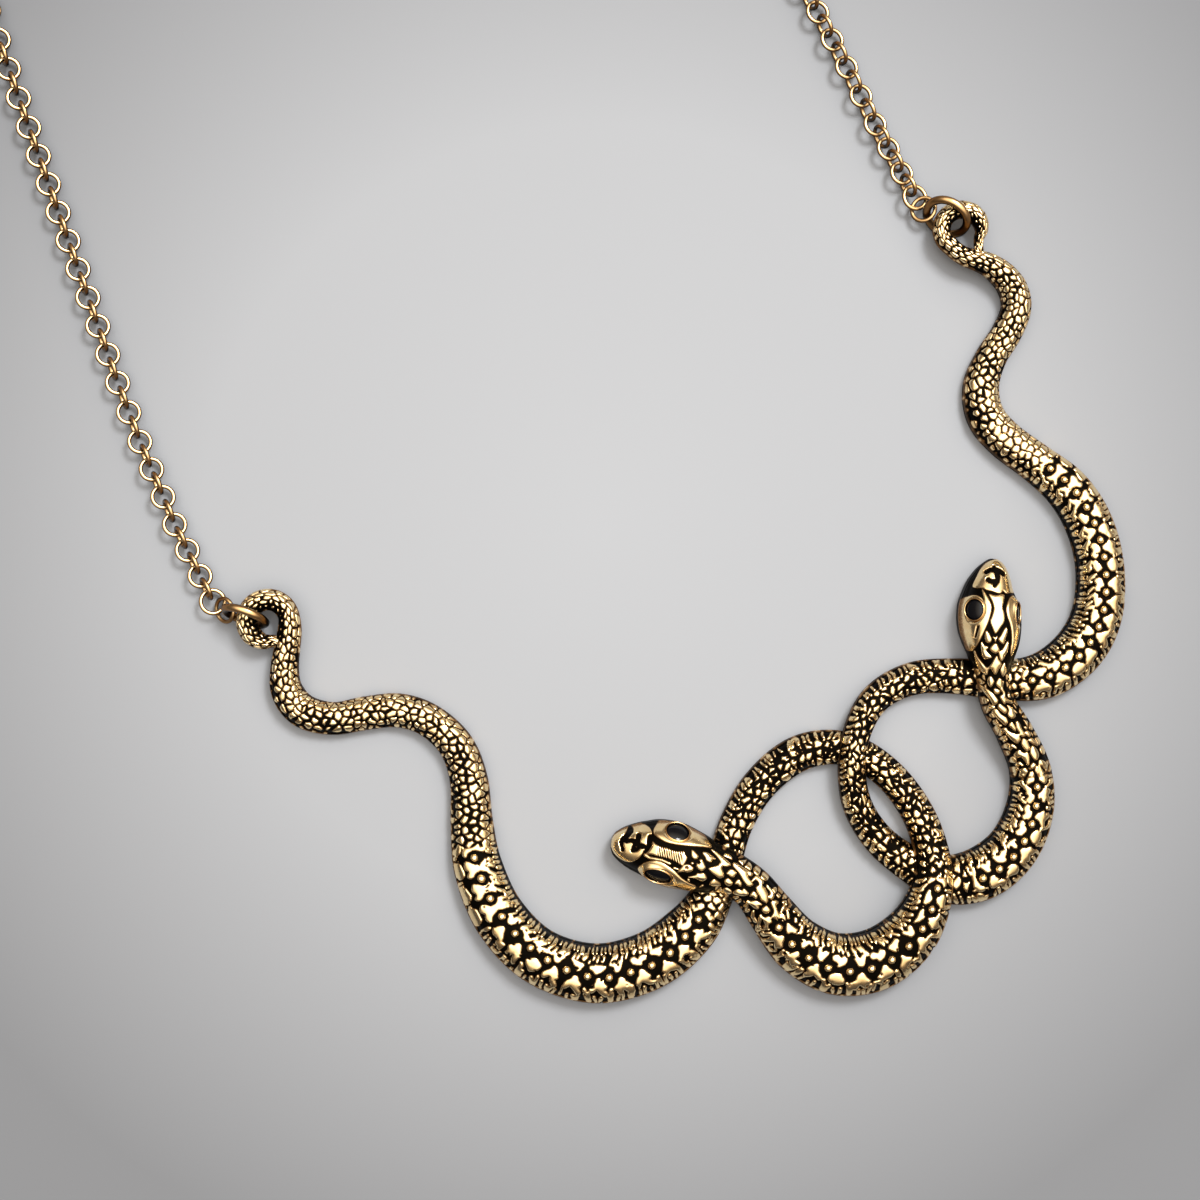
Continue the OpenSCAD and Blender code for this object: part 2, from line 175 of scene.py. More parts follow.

# Head plates. A point of a broad plate or of a cut of its own is (along, across): millimetres
# from the snout's tip toward the neck, and across to the left of travel from tip to neck, as
# seen from above. A cut or a ridge has its radius at its start and at its end after its points.
# Crops hold what was picked on enlarged pieces of the photo: pixels of the photo, zoom
# times enlarged and counted from the crop's corner. traced_plates turns them into millimetres
# from the snout's tip as it was read at that time, traced_from.
LEFT_HEAD_PLATES = dict(
    tip=(1.35, -30.26), axis=(0.9686, -0.2487), start=31.8, neck=12.5,
    traced_from=(1.345, -30.26),
    broad=[
        # snout's cap, the almonds round the eyes, the crown's band
        [(-0.1, 0.2), (0.2, 1.3), (0.8, 2.3), (1.6, 2.8), (2.6, 3.1), (3.7, 3.3), (4.3, 3.1),
         (4.6, 2.6), (4.2, 2.3), (4.2, 1.5), (4.3, 1), (4.1, 0.2), (4, -0.3), (3.6, -1.1),
         (2.9, -1.7), (2.1, -1.8), (1.1, -1.5), (0.3, -0.8)],
        [(4.8, 2.7), (4.7, 3.2), (5.1, 4), (6, 4.6), (7, 4.9), (7.9, 5.1), (9, 4.9), (10, 4.5),
         (11, 3.9), (12.2, 2.9), (11.1, 2.7), (9.8, 2.45), (8.6, 2.25), (7.4, 2.1), (6.4, 2.1),
         (5.6, 2.3), (5.1, 2.5)],
        [(4, -2.2), (4.4, -1.4), (5.1, -0.8), (5.9, -0.5), (6.7, -0.5), (7.6, -0.8), (8.5, -1.2),
         (9.4, -1.8), (10.4, -2.2), (11.5, -2.5), (11.1, -3.3), (9.8, -3.6), (8.7, -3.8),
         (7.4, -4), (6.3, -3.9), (5.2, -3.4), (4.4, -2.8)],
        [(4.9, 1.7), (5.3, 1.5), (6.1, 1.4), (6.8, 1.45), (7.6, 1.35), (8.5, 1.5), (8.9, 1.6),
         (9.2, 1.2), (9.5, 0.8), (9.2, -0.2), (8.6, -0.1), (7.8, 0.1), (6.8, 0.15), (6, 0.1),
         (5.2, 0.1), (4.5, 0), (4.75, 0.6), (4.9, 1.1)],
    ],
    crops=[
        dict(
            corner=(600, 805), zoom=13.07,
            scales=[
                [(1205, 590), (1225, 600), (1282, 660), (1278, 695), (1240, 705), (1200, 670)],
                [(1020, 872), (1075, 810), (1150, 782), (1215, 815), (1208, 850), (1165, 878),
                 (1095, 872), (1040, 885)],
                [(1150, 955), (1230, 930), (1270, 900), (1300, 910), (1350, 892), (1388, 940),
                 (1385, 970), (1330, 1000), (1260, 965), (1200, 955)],
                [(1290, 1090), (1330, 1058), (1345, 1065)],
            ],
            cuts=[
                ([(400, 328), (350, 395), (305, 435), (278, 490), (278, 520)], 0.3, 0.16),
                ([(278, 500), (292, 555), (292, 588)], 0.15, 0.16),
                ([(300, 462), (350, 470), (405, 462), (450, 470), (485, 475)], 0.15, 0.22),
                ([(1290, 752), (1292, 748)], 0.13, 0.13),
                ([(1135, 815), (1135, 818)], 0.13, 0.13),
            ],
            ridges=[
                ([(590, 655), (640, 690), (720, 702), (800, 720), (870, 745),
                  (910, 775)], 0.14, 0.1),
                ([(960, 830), (1015, 845)], 0.08, 0.06),
                ([(1205, 760), (1210, 762)], 0.1, 0.1),
                ([(1155, 988), (1157, 990)], 0.1, 0.1),
            ]),
        dict(
            corner=(695, 835), zoom=13.07,
            scales=[
                [(100, 230), (170, 235), (215, 260), (270, 310), (235, 320), (200, 350),
                 (150, 330), (135, 280)],
                [(15, 395), (40, 370), (70, 318), (95, 325), (110, 350), (140, 410), (130, 450),
                 (90, 465), (40, 440)],
                [(180, 430), (240, 420), (300, 402), (335, 360), (370, 395), (350, 430),
                 (375, 500), (375, 545), (320, 565), (280, 540), (230, 500), (190, 460)],
                [(195, 640), (235, 590), (270, 600), (325, 640), (320, 670), (260, 680),
                 (210, 660)],
                [(215, 178), (260, 200), (320, 250), (400, 310), (450, 350), (460, 395),
                 (400, 410), (350, 380), (330, 330), (280, 260), (225, 200)],
                [(420, 500), (470, 450), (535, 485), (535, 520), (490, 550), (430, 520)],
                [(385, 600), (430, 575), (475, 600), (485, 640), (440, 672), (395, 650)],
                [(520, 640), (570, 588), (612, 640), (590, 672), (560, 645)],
                [(335, 745), (400, 700), (480, 750), (430, 785)],
                [(490, 760), (550, 715), (600, 735), (640, 710), (690, 760), (650, 802),
                 (560, 795)],
                [(515, 358), (600, 400), (680, 450), (750, 490), (758, 520), (720, 532),
                 (690, 505), (705, 560), (740, 610), (755, 650), (710, 677), (660, 640),
                 (620, 560), (570, 480), (500, 400)],
                [(720, 800), (770, 740), (812, 800), (790, 838), (750, 805)],
                [(745, 590), (800, 530), (870, 570), (905, 620), (880, 660), (920, 700),
                 (960, 790), (950, 860), (930, 885), (880, 860), (850, 800), (800, 700),
                 (840, 650), (830, 600), (790, 580), (760, 605)],
                [(945, 650), (985, 690), (1040, 760), (1040, 810), (1000, 842), (960, 812),
                 (1000, 750), (950, 690)],
                [(668, 868), (720, 880), (800, 865), (870, 910), (830, 930), (820, 972),
                 (770, 950), (700, 900), (685, 950), (665, 1005), (642, 975)],
                [(880, 980), (930, 935), (980, 985), (930, 1030)],
                [(1000, 882), (1060, 855), (1092, 880), (1062, 925), (1090, 1000), (1110, 1080),
                 (1100, 1142), (1060, 1120), (1020, 1080), (985, 1095), (1030, 1000)],
                [(1125, 1010), (1135, 960), (1180, 900), (1155, 1000)],
                [(720, 1060), (750, 1000), (770, 1010), (755, 1100)],
                [(1135, 1080), (1200, 1015), (1235, 1045), (1200, 1140)],
                [(800, 1205), (840, 1045), (900, 1090), (970, 1075), (1000, 1120), (1035, 1195),
                 (1020, 1235), (975, 1180), (990, 1240), (965, 1262), (920, 1180), (870, 1100),
                 (830, 1200)],
            ],
            cuts=[],
            ridges=[]),
    ],
    cuts=[
        ([(3.1, 1.9), (3.1, 1.6), (3.1, 1.2), (3.3, 0.8), (3.9, 0.8)], 0.28, 0.2),
        ([(2.7, 1), (2.9, 0.7), (2.8, 0.3), (2.8, -0.1), (3.2, 0.1), (3.5, 0.6),
          (4.2, 0.8)], 0.17, 0.17),
    ],
    # middle, half length and half breadth of each eye's opening
    openings=[(7.65, 3.6, 1.52, 1.38), (6.6, -2.4, 1.78, 1.18)],
    hatched=(5.5, 9.2, -0.3, 1.8))
RIGHT_HEAD_PLATES = dict(
    tip=(49.19, 5.02), axis=(-0.035, -0.999), start=28.9, neck=12.5,
    traced_from=(49.19, 5.02),
    broad=[
        # snout's cap, the teardrop round the inner eye, the crown, the outer eye's crescent
        [(-0.1, 0.2), (0, 1), (0.6, 1.8), (1.6, 2.4), (2.9, 2.7), (4, 2.7), (4.1, 1.9),
         (4.2, 1.4), (3.9, 0.9), (4.15, 0.6), (4.15, 0.1), (4, -0.4), (3.85, -1.1), (3.8, -1.4),
         (3.6, -1.8), (3.6, -2.6), (3.3, -2.8), (2.3, -2.35), (1.1, -1.65), (0.2, -0.7)],
        [(3.7, -1.8), (4.3, -1.35), (5.2, -0.85), (5.9, -0.65), (6.9, -0.8), (7.9, -1.1),
         (9, -1.55), (10.1, -2), (11.3, -2.6), (11.4, -3), (10.3, -3.45), (9.1, -3.9),
         (8.2, -4.2), (7.4, -4.25), (6.6, -4.15), (5.8, -4.1), (5, -3.8), (4.6, -3.2), (4.5, -2.6),
         (4.7, -2.1), (5.2, -1.6), (4.4, -1.7)],
        [(4.3, -1), (4.45, -0.2), (4.3, 1), (5.1, 0.95), (5.9, 0.75), (6.6, 0.95), (7.6, 1),
         (8.4, 0.5), (9.2, -0.1), (8.6, -0.5), (7.7, -0.85), (7.1, -0.65), (6.1, -0.4),
         (5.2, -0.6)],
        [(4.4, 2.4), (5, 2.9), (5.8, 3), (6.8, 3.2), (8, 3.4), (8.8, 3.3), (9.9, 3.1),
         (10.9, 2.8), (11.9, 2.2), (11.1, 2), (10.1, 2.1), (8.9, 2), (7.9, 1.75), (6.9, 1.35),
         (5.9, 1.25), (4.7, 1.8)],
    ],
    crops=[
        dict(
            corner=(940, 550), zoom=9.8,
            scales=[
                [(448, 792), (480, 830), (506, 880), (490, 908), (455, 895), (440, 860)],
                [(652, 758), (662, 800), (645, 860), (620, 922), (575, 882), (600, 840)],
                [(524, 855), (545, 862), (566, 850), (556, 880), (545, 905), (534, 880)],
                [(545, 918), (582, 972), (550, 1012), (494, 972)],
                [(403, 903), (430, 940), (468, 955), (448, 985), (470, 1020), (504, 1052),
                 (465, 1068), (425, 1062), (405, 1000)],
                [(666, 898), (672, 960), (640, 1040), (603, 1088), (580, 1010), (622, 978)],
                [(550, 1045), (575, 1075), (602, 1120), (580, 1170), (545, 1218), (500, 1160),
                 (470, 1180), (444, 1222), (370, 1152), (340, 1070), (328, 985), (350, 1040),
                 (400, 1112), (450, 1150), (490, 1135)],
                [(632, 1108), (648, 1140), (655, 1190), (622, 1235), (600, 1180)],
                [(493, 1243), (526, 1288), (495, 1342), (460, 1290)],
                [(586, 1262), (622, 1300), (605, 1352), (553, 1312)],
                [(535, 1362), (586, 1382), (570, 1412), (535, 1398)],
            ],
            cuts=[],
            ridges=[]),
        dict(
            corner=(940, 690), zoom=13.07,
            scales=[
                [(480, -120), (520, -60), (620, 0), (700, 60), (757, 130), (742, 178), (700, 192),
                 (650, 130), (590, 50), (520, -30)],
                [(840, -120), (830, -20), (850, 30), (872, 108), (950, 150), (940, 168),
                 (870, 160), (850, 178), (785, 92), (830, 50), (790, -10), (815, -60)],
                [(575, 125), (610, 115), (622, 150), (590, 167)],
                [(895, 50), (935, 90), (910, 100)],
                [(630, 198), (702, 215), (700, 242), (640, 252), (620, 290), (588, 302),
                 (620, 240)],
                [(770, 190), (820, 210), (872, 250), (872, 290), (850, 302), (800, 272),
                 (763, 230)],
                [(885, 198), (950, 230), (972, 290), (988, 345), (940, 372), (888, 330),
                 (900, 270)],
                [(950, 240), (1012, 285), (1000, 295)],
                [(678, 290), (730, 258), (800, 320), (862, 370), (882, 420), (850, 458),
                 (800, 422), (740, 360)],
                [(640, 320), (680, 335), (655, 355)],
                [(680, 412), (722, 395), (700, 432)],
                [(903, 460), (940, 428), (980, 470), (992, 532), (960, 522), (920, 485)],
                [(800, 520), (850, 503), (900, 550), (960, 572), (1010, 588), (1042, 560),
                 (1010, 500), (995, 420), (1040, 430), (1062, 500), (1100, 540), (1112, 600),
                 (1080, 612), (1040, 600), (1047, 650), (1010, 702), (960, 672), (880, 600),
                 (835, 545), (790, 602), (768, 590)],
                [(700, 492), (750, 453), (802, 470), (770, 492), (730, 522), (700, 522)],
                [(1110, 480), (1142, 480), (1130, 512)],
                [(1118, 560), (1150, 530), (1192, 580), (1170, 612), (1130, 592)],
                [(1068, 700), (1090, 638), (1140, 660), (1172, 720), (1177, 762), (1140, 792),
                 (1100, 752)],
                [(1163, 660), (1210, 628), (1275, 690), (1272, 724)],
                [(820, 660), (860, 638), (872, 660), (830, 682)],
                [(890, 742), (930, 718), (990, 745), (1002, 767), (950, 762), (905, 790)],
                [(968, 850), (1030, 788), (1090, 830), (1140, 818), (1172, 880), (1162, 960),
                 (1142, 985), (1110, 930), (1050, 880), (990, 892)],
                [(1180, 820), (1210, 738), (1260, 760), (1292, 820), (1292, 870), (1260, 912),
                 (1220, 890)],
                [(985, 972), (1030, 943), (1082, 990), (1040, 992), (1000, 1004)],
                [(1183, 1000), (1230, 958), (1282, 1010), (1272, 1052), (1210, 1032)],
                [(1308, 918), (1370, 938), (1402, 990), (1370, 1000), (1382, 1060), (1402, 1130),
                 (1380, 1202), (1330, 1170), (1258, 1100), (1330, 1080), (1300, 1000)],
                [(1038, 1050), (1100, 1028), (1170, 1070), (1232, 1110), (1232, 1170),
                 (1190, 1192), (1150, 1150), (1110, 1082), (1050, 1082)],
                [(1040, 1170), (1070, 1140), (1110, 1165), (1080, 1185)],
                [(1360, 1050), (1400, 1020), (1425, 1050), (1400, 1065)],
                [(1240, 1250), (1285, 1205), (1335, 1250), (1320, 1300), (1275, 1280)],
                [(1060, 1265), (1120, 1250), (1180, 1270), (1220, 1320), (1280, 1370),
                 (1350, 1350), (1370, 1265), (1410, 1280), (1435, 1380), (1420, 1437),
                 (1340, 1437), (1290, 1385), (1240, 1437), (1180, 1437), (1130, 1340)],
            ],
            cuts=[],
            ridges=[]),
    ],
    cuts=[
        ([(1.6, -1.2), (1.3, -0.7), (1.2, 0), (1.45, 0.6), (1.75, 1.05)], 0.2, 0.26),
        ([(0.9, -0.2), (1.3, -0.1)], 0.14, 0.3),
        ([(1.4, 0.1), (2.1, 0.25), (2.7, 0.15), (3.2, -0.2)], 0.3, 0.18),
        ([(2.55, -1), (2.75, -0.6), (2.7, 0)], 0.24, 0.2),
        ([(8.4, -2.25), (9.7, -2.5)], 0.07, 0.04),
    ],
    openings=[(6.3, -2.65, 1.38, 1.3), (6.6, 2.95, 1.4, 0.95)],
    hatched=None)


def curl_rows(at, r, turn, width):
    """Rows of a tail's curl: points on a circle whose width and height grow from the tip."""
    rows = []
    for k in range(CURL_STEPS + 1):
        share = k / CURL_STEPS
        angle = math.radians(turn[0] + (turn[1] - turn[0]) * share)
        grown = min(share / CURL_TIP_SHARE, 1)
        rows.append([at[0] + r * math.cos(angle), at[1] + r * math.sin(angle),
                     width[0] + (width[1] - width[0]) * grown, CURL_LIFT,
                     CURL_LIFT + CURL_HEIGHT * (TIP_HEIGHT + (1 - TIP_HEIGHT) * grown)])
    return rows


LEFT_ROWS = np.array([LEFT_TIP, *curl_rows(**LEFT_CURL), *LEFT_BODY, *LEFT_HEAD], float)
RIGHT_ROWS = np.array([RIGHT_TIP, *curl_rows(**RIGHT_CURL), *RIGHT_BODY, *RIGHT_HEAD], float)


# Small formulas
def spline(rows, t):
    """Catmull-Rom curve through the rows at row numbers t, all columns alike."""
    last = len(rows) - 1
    i = np.clip(np.floor(t).astype(int), 0, last - 1)
    f = (t - i)[:, None]
    a, b = rows[np.maximum(i - 1, 0)], rows[i]
    c, d = rows[i + 1], rows[np.minimum(i + 2, last)]
    return (b + f * (c - a) / 2 + f ** 2 * (2 * a - 5 * b + 4 * c - d) / 2
            + f ** 3 * (3 * b - a - 3 * c + d) / 2)


def rising(value, low, high):
    """Smooth step: 0 below low, 1 above high, and 3x^2 - 2x^3 between."""
    x = np.clip((value - low) / (high - low), 0, 1)
    return x * x * (3 - 2 * x)


def straight_rise(value, low, high):
    """0 below low, 1 above high, and straight between."""
    return np.clip((value - low) / (high - low), 0, 1)


def chance(i, j, seed):
    """Repeatable random numbers from 0 to 1 for whole-number arrays i and j: the fraction of
    a large multiple of the sine of their weighted sum."""
    x = np.sin(i * 127.1 + j * 311.7 + seed * 74.7) * 43758.5453
    return x - np.floor(x)


def ripple(x, y, seed):
    """Value noise from -1 to 1: random values at whole numbers, eased between by the smooth
    step in both directions."""
    i, j = np.floor(x), np.floor(y)
    fx, fy = x - i, y - j
    fx, fy = fx * fx * (3 - 2 * fx), fy * fy * (3 - 2 * fy)
    low = chance(i, j, seed) * (1 - fx) + chance(i + 1, j, seed) * fx
    high = chance(i, j + 1, seed) * (1 - fx) + chance(i + 1, j + 1, seed) * fx
    return 2 * (low * (1 - fy) + high * fy) - 1


def pillow(depth, edge):
    """Height from 0 to 1 of a plate with rounded edges: a quarter circle over the first edge
    millimetres of depth inside its outline, then flat."""
    x = np.clip(depth / edge, 0, 1)
    return np.sqrt(1 - (1 - x) ** 2)


def bar(x, y, ax, ay, ar, bx, by, br):
    """Depth inside a bar that tapers from radius ar at a to radius br at b: the radius at the
    nearest point of its axis, less the distance from there."""
    dx, dy = bx - ax, by - ay
    t = np.clip(((x - ax) * dx + (y - ay) * dy) / np.maximum(dx * dx + dy * dy, 1e-9), 0, 1)
    return ar + (br - ar) * t - np.hypot(x - ax - t * dx, y - ay - t * dy)


def pebbles(x, y, length, width, scatter, seed):
    """Depth inside straight-sided cells round points scattered about a staggered lattice: the
    distance to the nearest of the lines that halve the way to each neighbouring point. Also
    gives the distance to the own point."""
    p, q = x / length, y / width
    i, j = np.floor(p), np.floor(q)
    offsets = []
    for dj in (-1, 0, 1):
        for di in (-1, 0, 1):
            ci, cj = i + di, j + dj
            px = ci + 0.25 + 0.5 * np.mod(cj, 2) + scatter * (chance(ci, cj, seed) - 0.5)
            py = cj + 0.5 + scatter * (chance(ci, cj, seed + 1) - 0.5)
            offsets.append(((px - p) * length, (py - q) * width))
    near = np.full(x.shape, 1e9)
    own = [np.zeros(x.shape), np.zeros(x.shape)]
    for vx, vy in offsets:
        d = np.hypot(vx, vy)
        own = [np.where(d < near, vx, own[0]), np.where(d < near, vy, own[1])]
        near = np.minimum(near, d)
    depth = np.full(x.shape, 1e9)
    for vx, vy in offsets:
        gx, gy = vx - own[0], vy - own[1]
        apart = np.hypot(gx, gy)
        halfway = ((vx + own[0]) * gx + (vy + own[1]) * gy) / (2 * np.maximum(apart, 1e-6))
        depth = np.where(apart > 1e-6, np.minimum(depth, halfway), depth)
    return depth, near


OUTLINE_STEPS = 5


def rounded(outline):
    """A closed outline with its corners eased: a closed Catmull-Rom curve through its points,
    taken in short straight steps."""
    p = np.asarray(outline, float)
    t = np.arange(len(p) * OUTLINE_STEPS) / OUTLINE_STEPS
    i = np.floor(t).astype(int)
    f = (t - i)[:, None]
    a, b, c, d = (p[(i + n) % len(p)] for n in (-1, 0, 1, 2))
    return (b + f * (c - a) / 2 + f ** 2 * (2 * a - 5 * b + 4 * c - d) / 2
            + f ** 3 * (3 * b - a - 3 * c + d) / 2)


def within(outline, x, y):
    """Depth inside a closed outline, negative outside: the distance to the nearest edge, its
    sign from whether a line to one side crosses the outline an odd number of times. Far from
    the outline it is -1."""
    p = rounded(outline)
    reach = 0.3
    near = ((x > p[:, 0].min() - reach) & (x < p[:, 0].max() + reach)
            & (y > p[:, 1].min() - reach) & (y < p[:, 1].max() + reach))
    px, py = x[near][:, None], y[near][:, None]
    ax, ay = p.T
    bx, by = np.roll(p, -1, 0).T
    dx, dy = bx - ax, by - ay
    t = np.clip(((px - ax) * dx + (py - ay) * dy) / np.maximum(dx * dx + dy * dy, 1e-12), 0, 1)
    distance = np.hypot(px - ax - t * dx, py - ay - t * dy).min(1)
    slope = dx / np.where(np.abs(dy) < 1e-9, 1e-9, dy)
    crossed = ((ay > py) != (by > py)) & (px < ax + (py - ay) * slope)
    depth = np.full(x.shape, -1.0)
    depth[near] = np.where(crossed.sum(1) % 2 == 1, distance, -distance)
    return depth


def stroke(points, first, last, x, y):
    """Depth inside a line of bars through the points, the radius passing from first to last."""
    radius = np.linspace(first, last, len(points))
    depth = np.full(x.shape, -1.0)
    for (ax, ay), (bx, by), ar, br in zip(points[:-1], points[1:], radius[:-1], radius[1:]):
        depth = np.maximum(depth, bar(x, y, ax, ay, ar, bx, by, br))
    return depth


def placed(points):
    """Slanted millimetres to the necklace's frame in metres: the point halfway between the
    curls goes to the origin, the plan turns level, and the whole necklace is centred."""
    c, s = math.cos(LEVEL_TURN), math.sin(LEVEL_TURN)
    x, y = points[..., 0] - CURLS_MIDDLE[0], points[..., 1] - CURLS_MIDDLE[1]
    return np.stack([x * c - y * s - BOX_MIDDLE[0], x * s + y * c - BOX_MIDDLE[1],
                     points[..., 2]], -1) * MM


# Skins
def walk(rows, start, end, step):
    """Row numbers at even steps along the middle line from one row to another, and the
    distance walked at each."""
    t = np.linspace(start, end, int((end - start) * 90) + 2)
    xy = spline(rows, t)[:, :2]
    arc = np.concatenate([[0.0], np.cumsum(np.hypot(*np.diff(xy, axis=0).T))])
    even = np.linspace(0, arc[-1], int(round(arc[-1] / step)) + 1)
    return np.interp(even, arc, t), even


def row_distance(rows, t):
    """Distance along the middle line from the first row to row numbers t."""
    fine = np.linspace(0, len(rows) - 1, len(rows) * 90)
    xy = spline(rows, fine)[:, :2]
    arc = np.concatenate([[0.0], np.cumsum(np.hypot(*np.diff(xy, axis=0).T))])
    return np.interp(t, fine, arc)


# Middle line: steps to a row, step and number of steps that its turning is averaged over,
# turning in radians a millimetre that counts as a clear bend, and where the light comes from
HEADING_STEPS = 90
TURNING_STEP, TURNING_SPAN = 0.25, 17
CLEAR_BEND = 0.04
LIT_FROM = math.radians(50)


def headings(rows):
    """Distances along the middle line, the heading at each, and the line's whole length."""
    fine = np.linspace(0, len(rows) - 1, len(rows) * HEADING_STEPS)
    step = np.diff(spline(rows, fine)[:, :2], axis=0)
    arc = np.concatenate([[0.0], np.cumsum(np.hypot(*step.T))])
    return (arc[:-1] + arc[1:]) / 2, np.unwrap(np.arctan2(step[:, 1], step[:, 0])), arc[-1]


def outward(rows, s):
    """Which side is outward of the bend at distances along the middle line, 1 for the right of
    travel and -1 for the left: how fast the heading turns left, averaged over a few
    millimetres, as a share of a clear bend."""
    places, heading, length = headings(rows)
    even = np.arange(0, length, TURNING_STEP)
    turning = np.gradient(np.interp(even, places, heading), even)
    turning = np.convolve(turning, np.ones(TURNING_SPAN) / TURNING_SPAN, "same")
    return np.interp(s, even, np.clip(turning / CLEAR_BEND, -1, 1))


def lit_side(rows, s):
    """How far the right of travel faces the picture's upper right, from -1 to 1, at distances
    along the middle line."""
    places, heading, _ = headings(rows)
    return np.sin(np.interp(s, places, heading) - LIT_FROM)


def skin(rows, t, dome_steps, wall_steps, floor_steps):
    """Sections carried along the middle line. Each is a domed back, a superellipse over the
    side walls, with a flat underside whose edges are eased. Gives the middle points, the unit
    vectors to the right of travel, the sections as distances to the right and heights, their
    outward normals, and how far each point lies out from the middle measured over the skin:
    the plan distance on the back, and down the wall beyond it."""
    last = len(rows) - 1
    row = spline(rows, t)
    ahead = spline(rows, np.minimum(t + 0.05, last))[:, :2] \
        - spline(rows, np.maximum(t - 0.05, 0))[:, :2]
    ahead /= np.hypot(*ahead.T)[:, None]
    right = np.stack([ahead[:, 1], -ahead[:, 0]], 1)
    half = row[:, 2:3] / 2
    low = np.maximum(row[:, 3:4], 0)
    top = row[:, 4:5]
    side = low + (top - low) * WALL_SHARE
    lifted = straight_rise(low, ROUND_FROM[0], ROUND_FULL[0]) \
        * (1 - straight_rise(2 * half, ROUND_FULL[1], ROUND_FROM[1]))
    ease = half * (EASE_FLAT + (EASE_ROUND - EASE_FLAT) * lifted)

    # the back, its angles spread so that the points are evenly apart on a usual section
    fine = np.linspace(0, math.pi, 2000)
    e = 2 / DOME_POWER
    px = np.sign(np.cos(fine)) * np.abs(np.cos(fine)) ** e * 2.8
    pz = np.abs(np.sin(fine)) ** e * 2.6
    run = np.concatenate([[0.0], np.cumsum(np.hypot(np.diff(px), np.diff(pz)))])
    angle = np.interp(np.linspace(0, run[-1], dome_steps + 1), run, fine)[None, :]
    c, s = np.cos(angle), np.abs(np.sin(angle))
    x = half * np.sign(c) * np.abs(c) ** e
    z = side + (top - side) * s ** e
    nx = np.sign(c) * np.abs(c) ** (e * (DOME_POWER - 1)) / half
    nz = s ** (e * (DOME_POWER - 1)) / (top - side)
    out = x.copy()

    # a wall, the eased edge below it and the underside to its middle, made once and mirrored
    k = (np.arange(wall_steps) + 1)[None, :] / wall_steps
    wall_z = side + (low + ease - side) * k
    wall = [half + 0 * wall_z, wall_z, 1 + 0 * wall_z, 0 * wall_z, half + side - wall_z]
    turn = (np.arange(3) + 1)[None, :] / 3 * math.pi / 2
    edge = [half - ease * (1 - np.cos(turn)), low + ease * (1 - np.sin(turn)),
            np.cos(turn) + 0 * half, -np.sin(turn) + 0 * half,
            half + side - low + ease * turn * 0.6]
    k = (np.arange(floor_steps) + 1)[None, :] / (floor_steps + 1)
    under = [(half - ease) * (1 - k), low + 0 * k * half, 0 * k * half, -1 + 0 * k * half,
             half + side + half * k + 1]
    parts = [np.concatenate(p, 1) for p in zip(wall, edge, under)]
    # round the section: the right wall upwards, the back from right to left, the left wall down
    x = np.concatenate([parts[0][:, ::-1], x, -parts[0]], 1)
    z = np.concatenate([parts[1][:, ::-1], z, parts[1]], 1)
    nx = np.concatenate([parts[2][:, ::-1], nx, -parts[2]], 1)
    nz = np.concatenate([parts[3][:, ::-1], nz, parts[3]], 1)
    out = np.concatenate([parts[4][:, ::-1], out, -parts[4]], 1)
    size = np.hypot(nx, nz)
    return row[:, :2], right, x, z, nx / size, nz / size, out, half


def lofted(name, points, relief):
    """A closed mesh over a grid of points, ring by ring: quads between neighbouring rings, and
    a flat cap on each end. The caps' rims are sharp, so that a seam between two stretches
    doesn't show. relief goes into a point attribute, 0 in the recesses and 1 on the tops, and
    lowered where it carries painted shade."""
    n, m = points.shape[:2]
    ring = np.arange(m)
    i = np.arange(n - 1)[:, None] * m
    quads = np.stack([i + ring, i + m + ring, i + m + (ring + 1) % m, i + (ring + 1) % m], -1)
    quads = quads.reshape(-1, 4)
    flat = placed(points).reshape(-1, 3)
    corners = flat[quads]
    volume = np.einsum("ij,ij->", corners[:, 0], np.cross(corners[:, 1], corners[:, 2])
                       + np.cross(corners[:, 2], corners[:, 3]))
    first, last = ring.copy(), ((n - 1) * m + ring)[::-1].copy()
    if volume < 0:
        quads, first, last = quads[:, ::-1], first[::-1], last[::-1]
    loops = np.concatenate([quads.reshape(-1), first, last]).astype(np.int32)
    starts = np.concatenate([np.arange(len(quads)) * 4, [quads.size, quads.size + m]])
    mesh = bpy.data.meshes.new(name)
    mesh.vertices.add(len(flat))
    mesh.vertices.foreach_set("co", flat.astype(np.float32).reshape(-1))
    mesh.loops.add(len(loops))
    mesh.loops.foreach_set("vertex_index", loops)
    mesh.polygons.add(len(starts))
    mesh.polygons.foreach_set("loop_start", starts.astype(np.int32))
    mesh.update(calc_edges=True)
    if mesh.validate():
        raise RuntimeError(f"{name}: its mesh had faults")
    mesh.polygons.foreach_set("use_smooth", np.ones(len(starts), bool))
    ends = np.zeros(len(mesh.edges) * 2, np.int32)
    mesh.edges.foreach_get("vertices", ends)
    ends = ends.reshape(-1, 2)
    sharp = (ends < m).all(1) | (ends >= (n - 1) * m).all(1)
    mesh.attributes.new("sharp_edge", "BOOLEAN", "EDGE").data.foreach_set("value", sharp)
    mesh.attributes.new("relief", "FLOAT", "POINT").data.foreach_set(
        "value", relief.astype(np.float32).reshape(-1))
    mesh.update()
    piece = bpy.data.objects.new(name, mesh)
    bpy.context.scene.collection.objects.link(piece)
    return piece


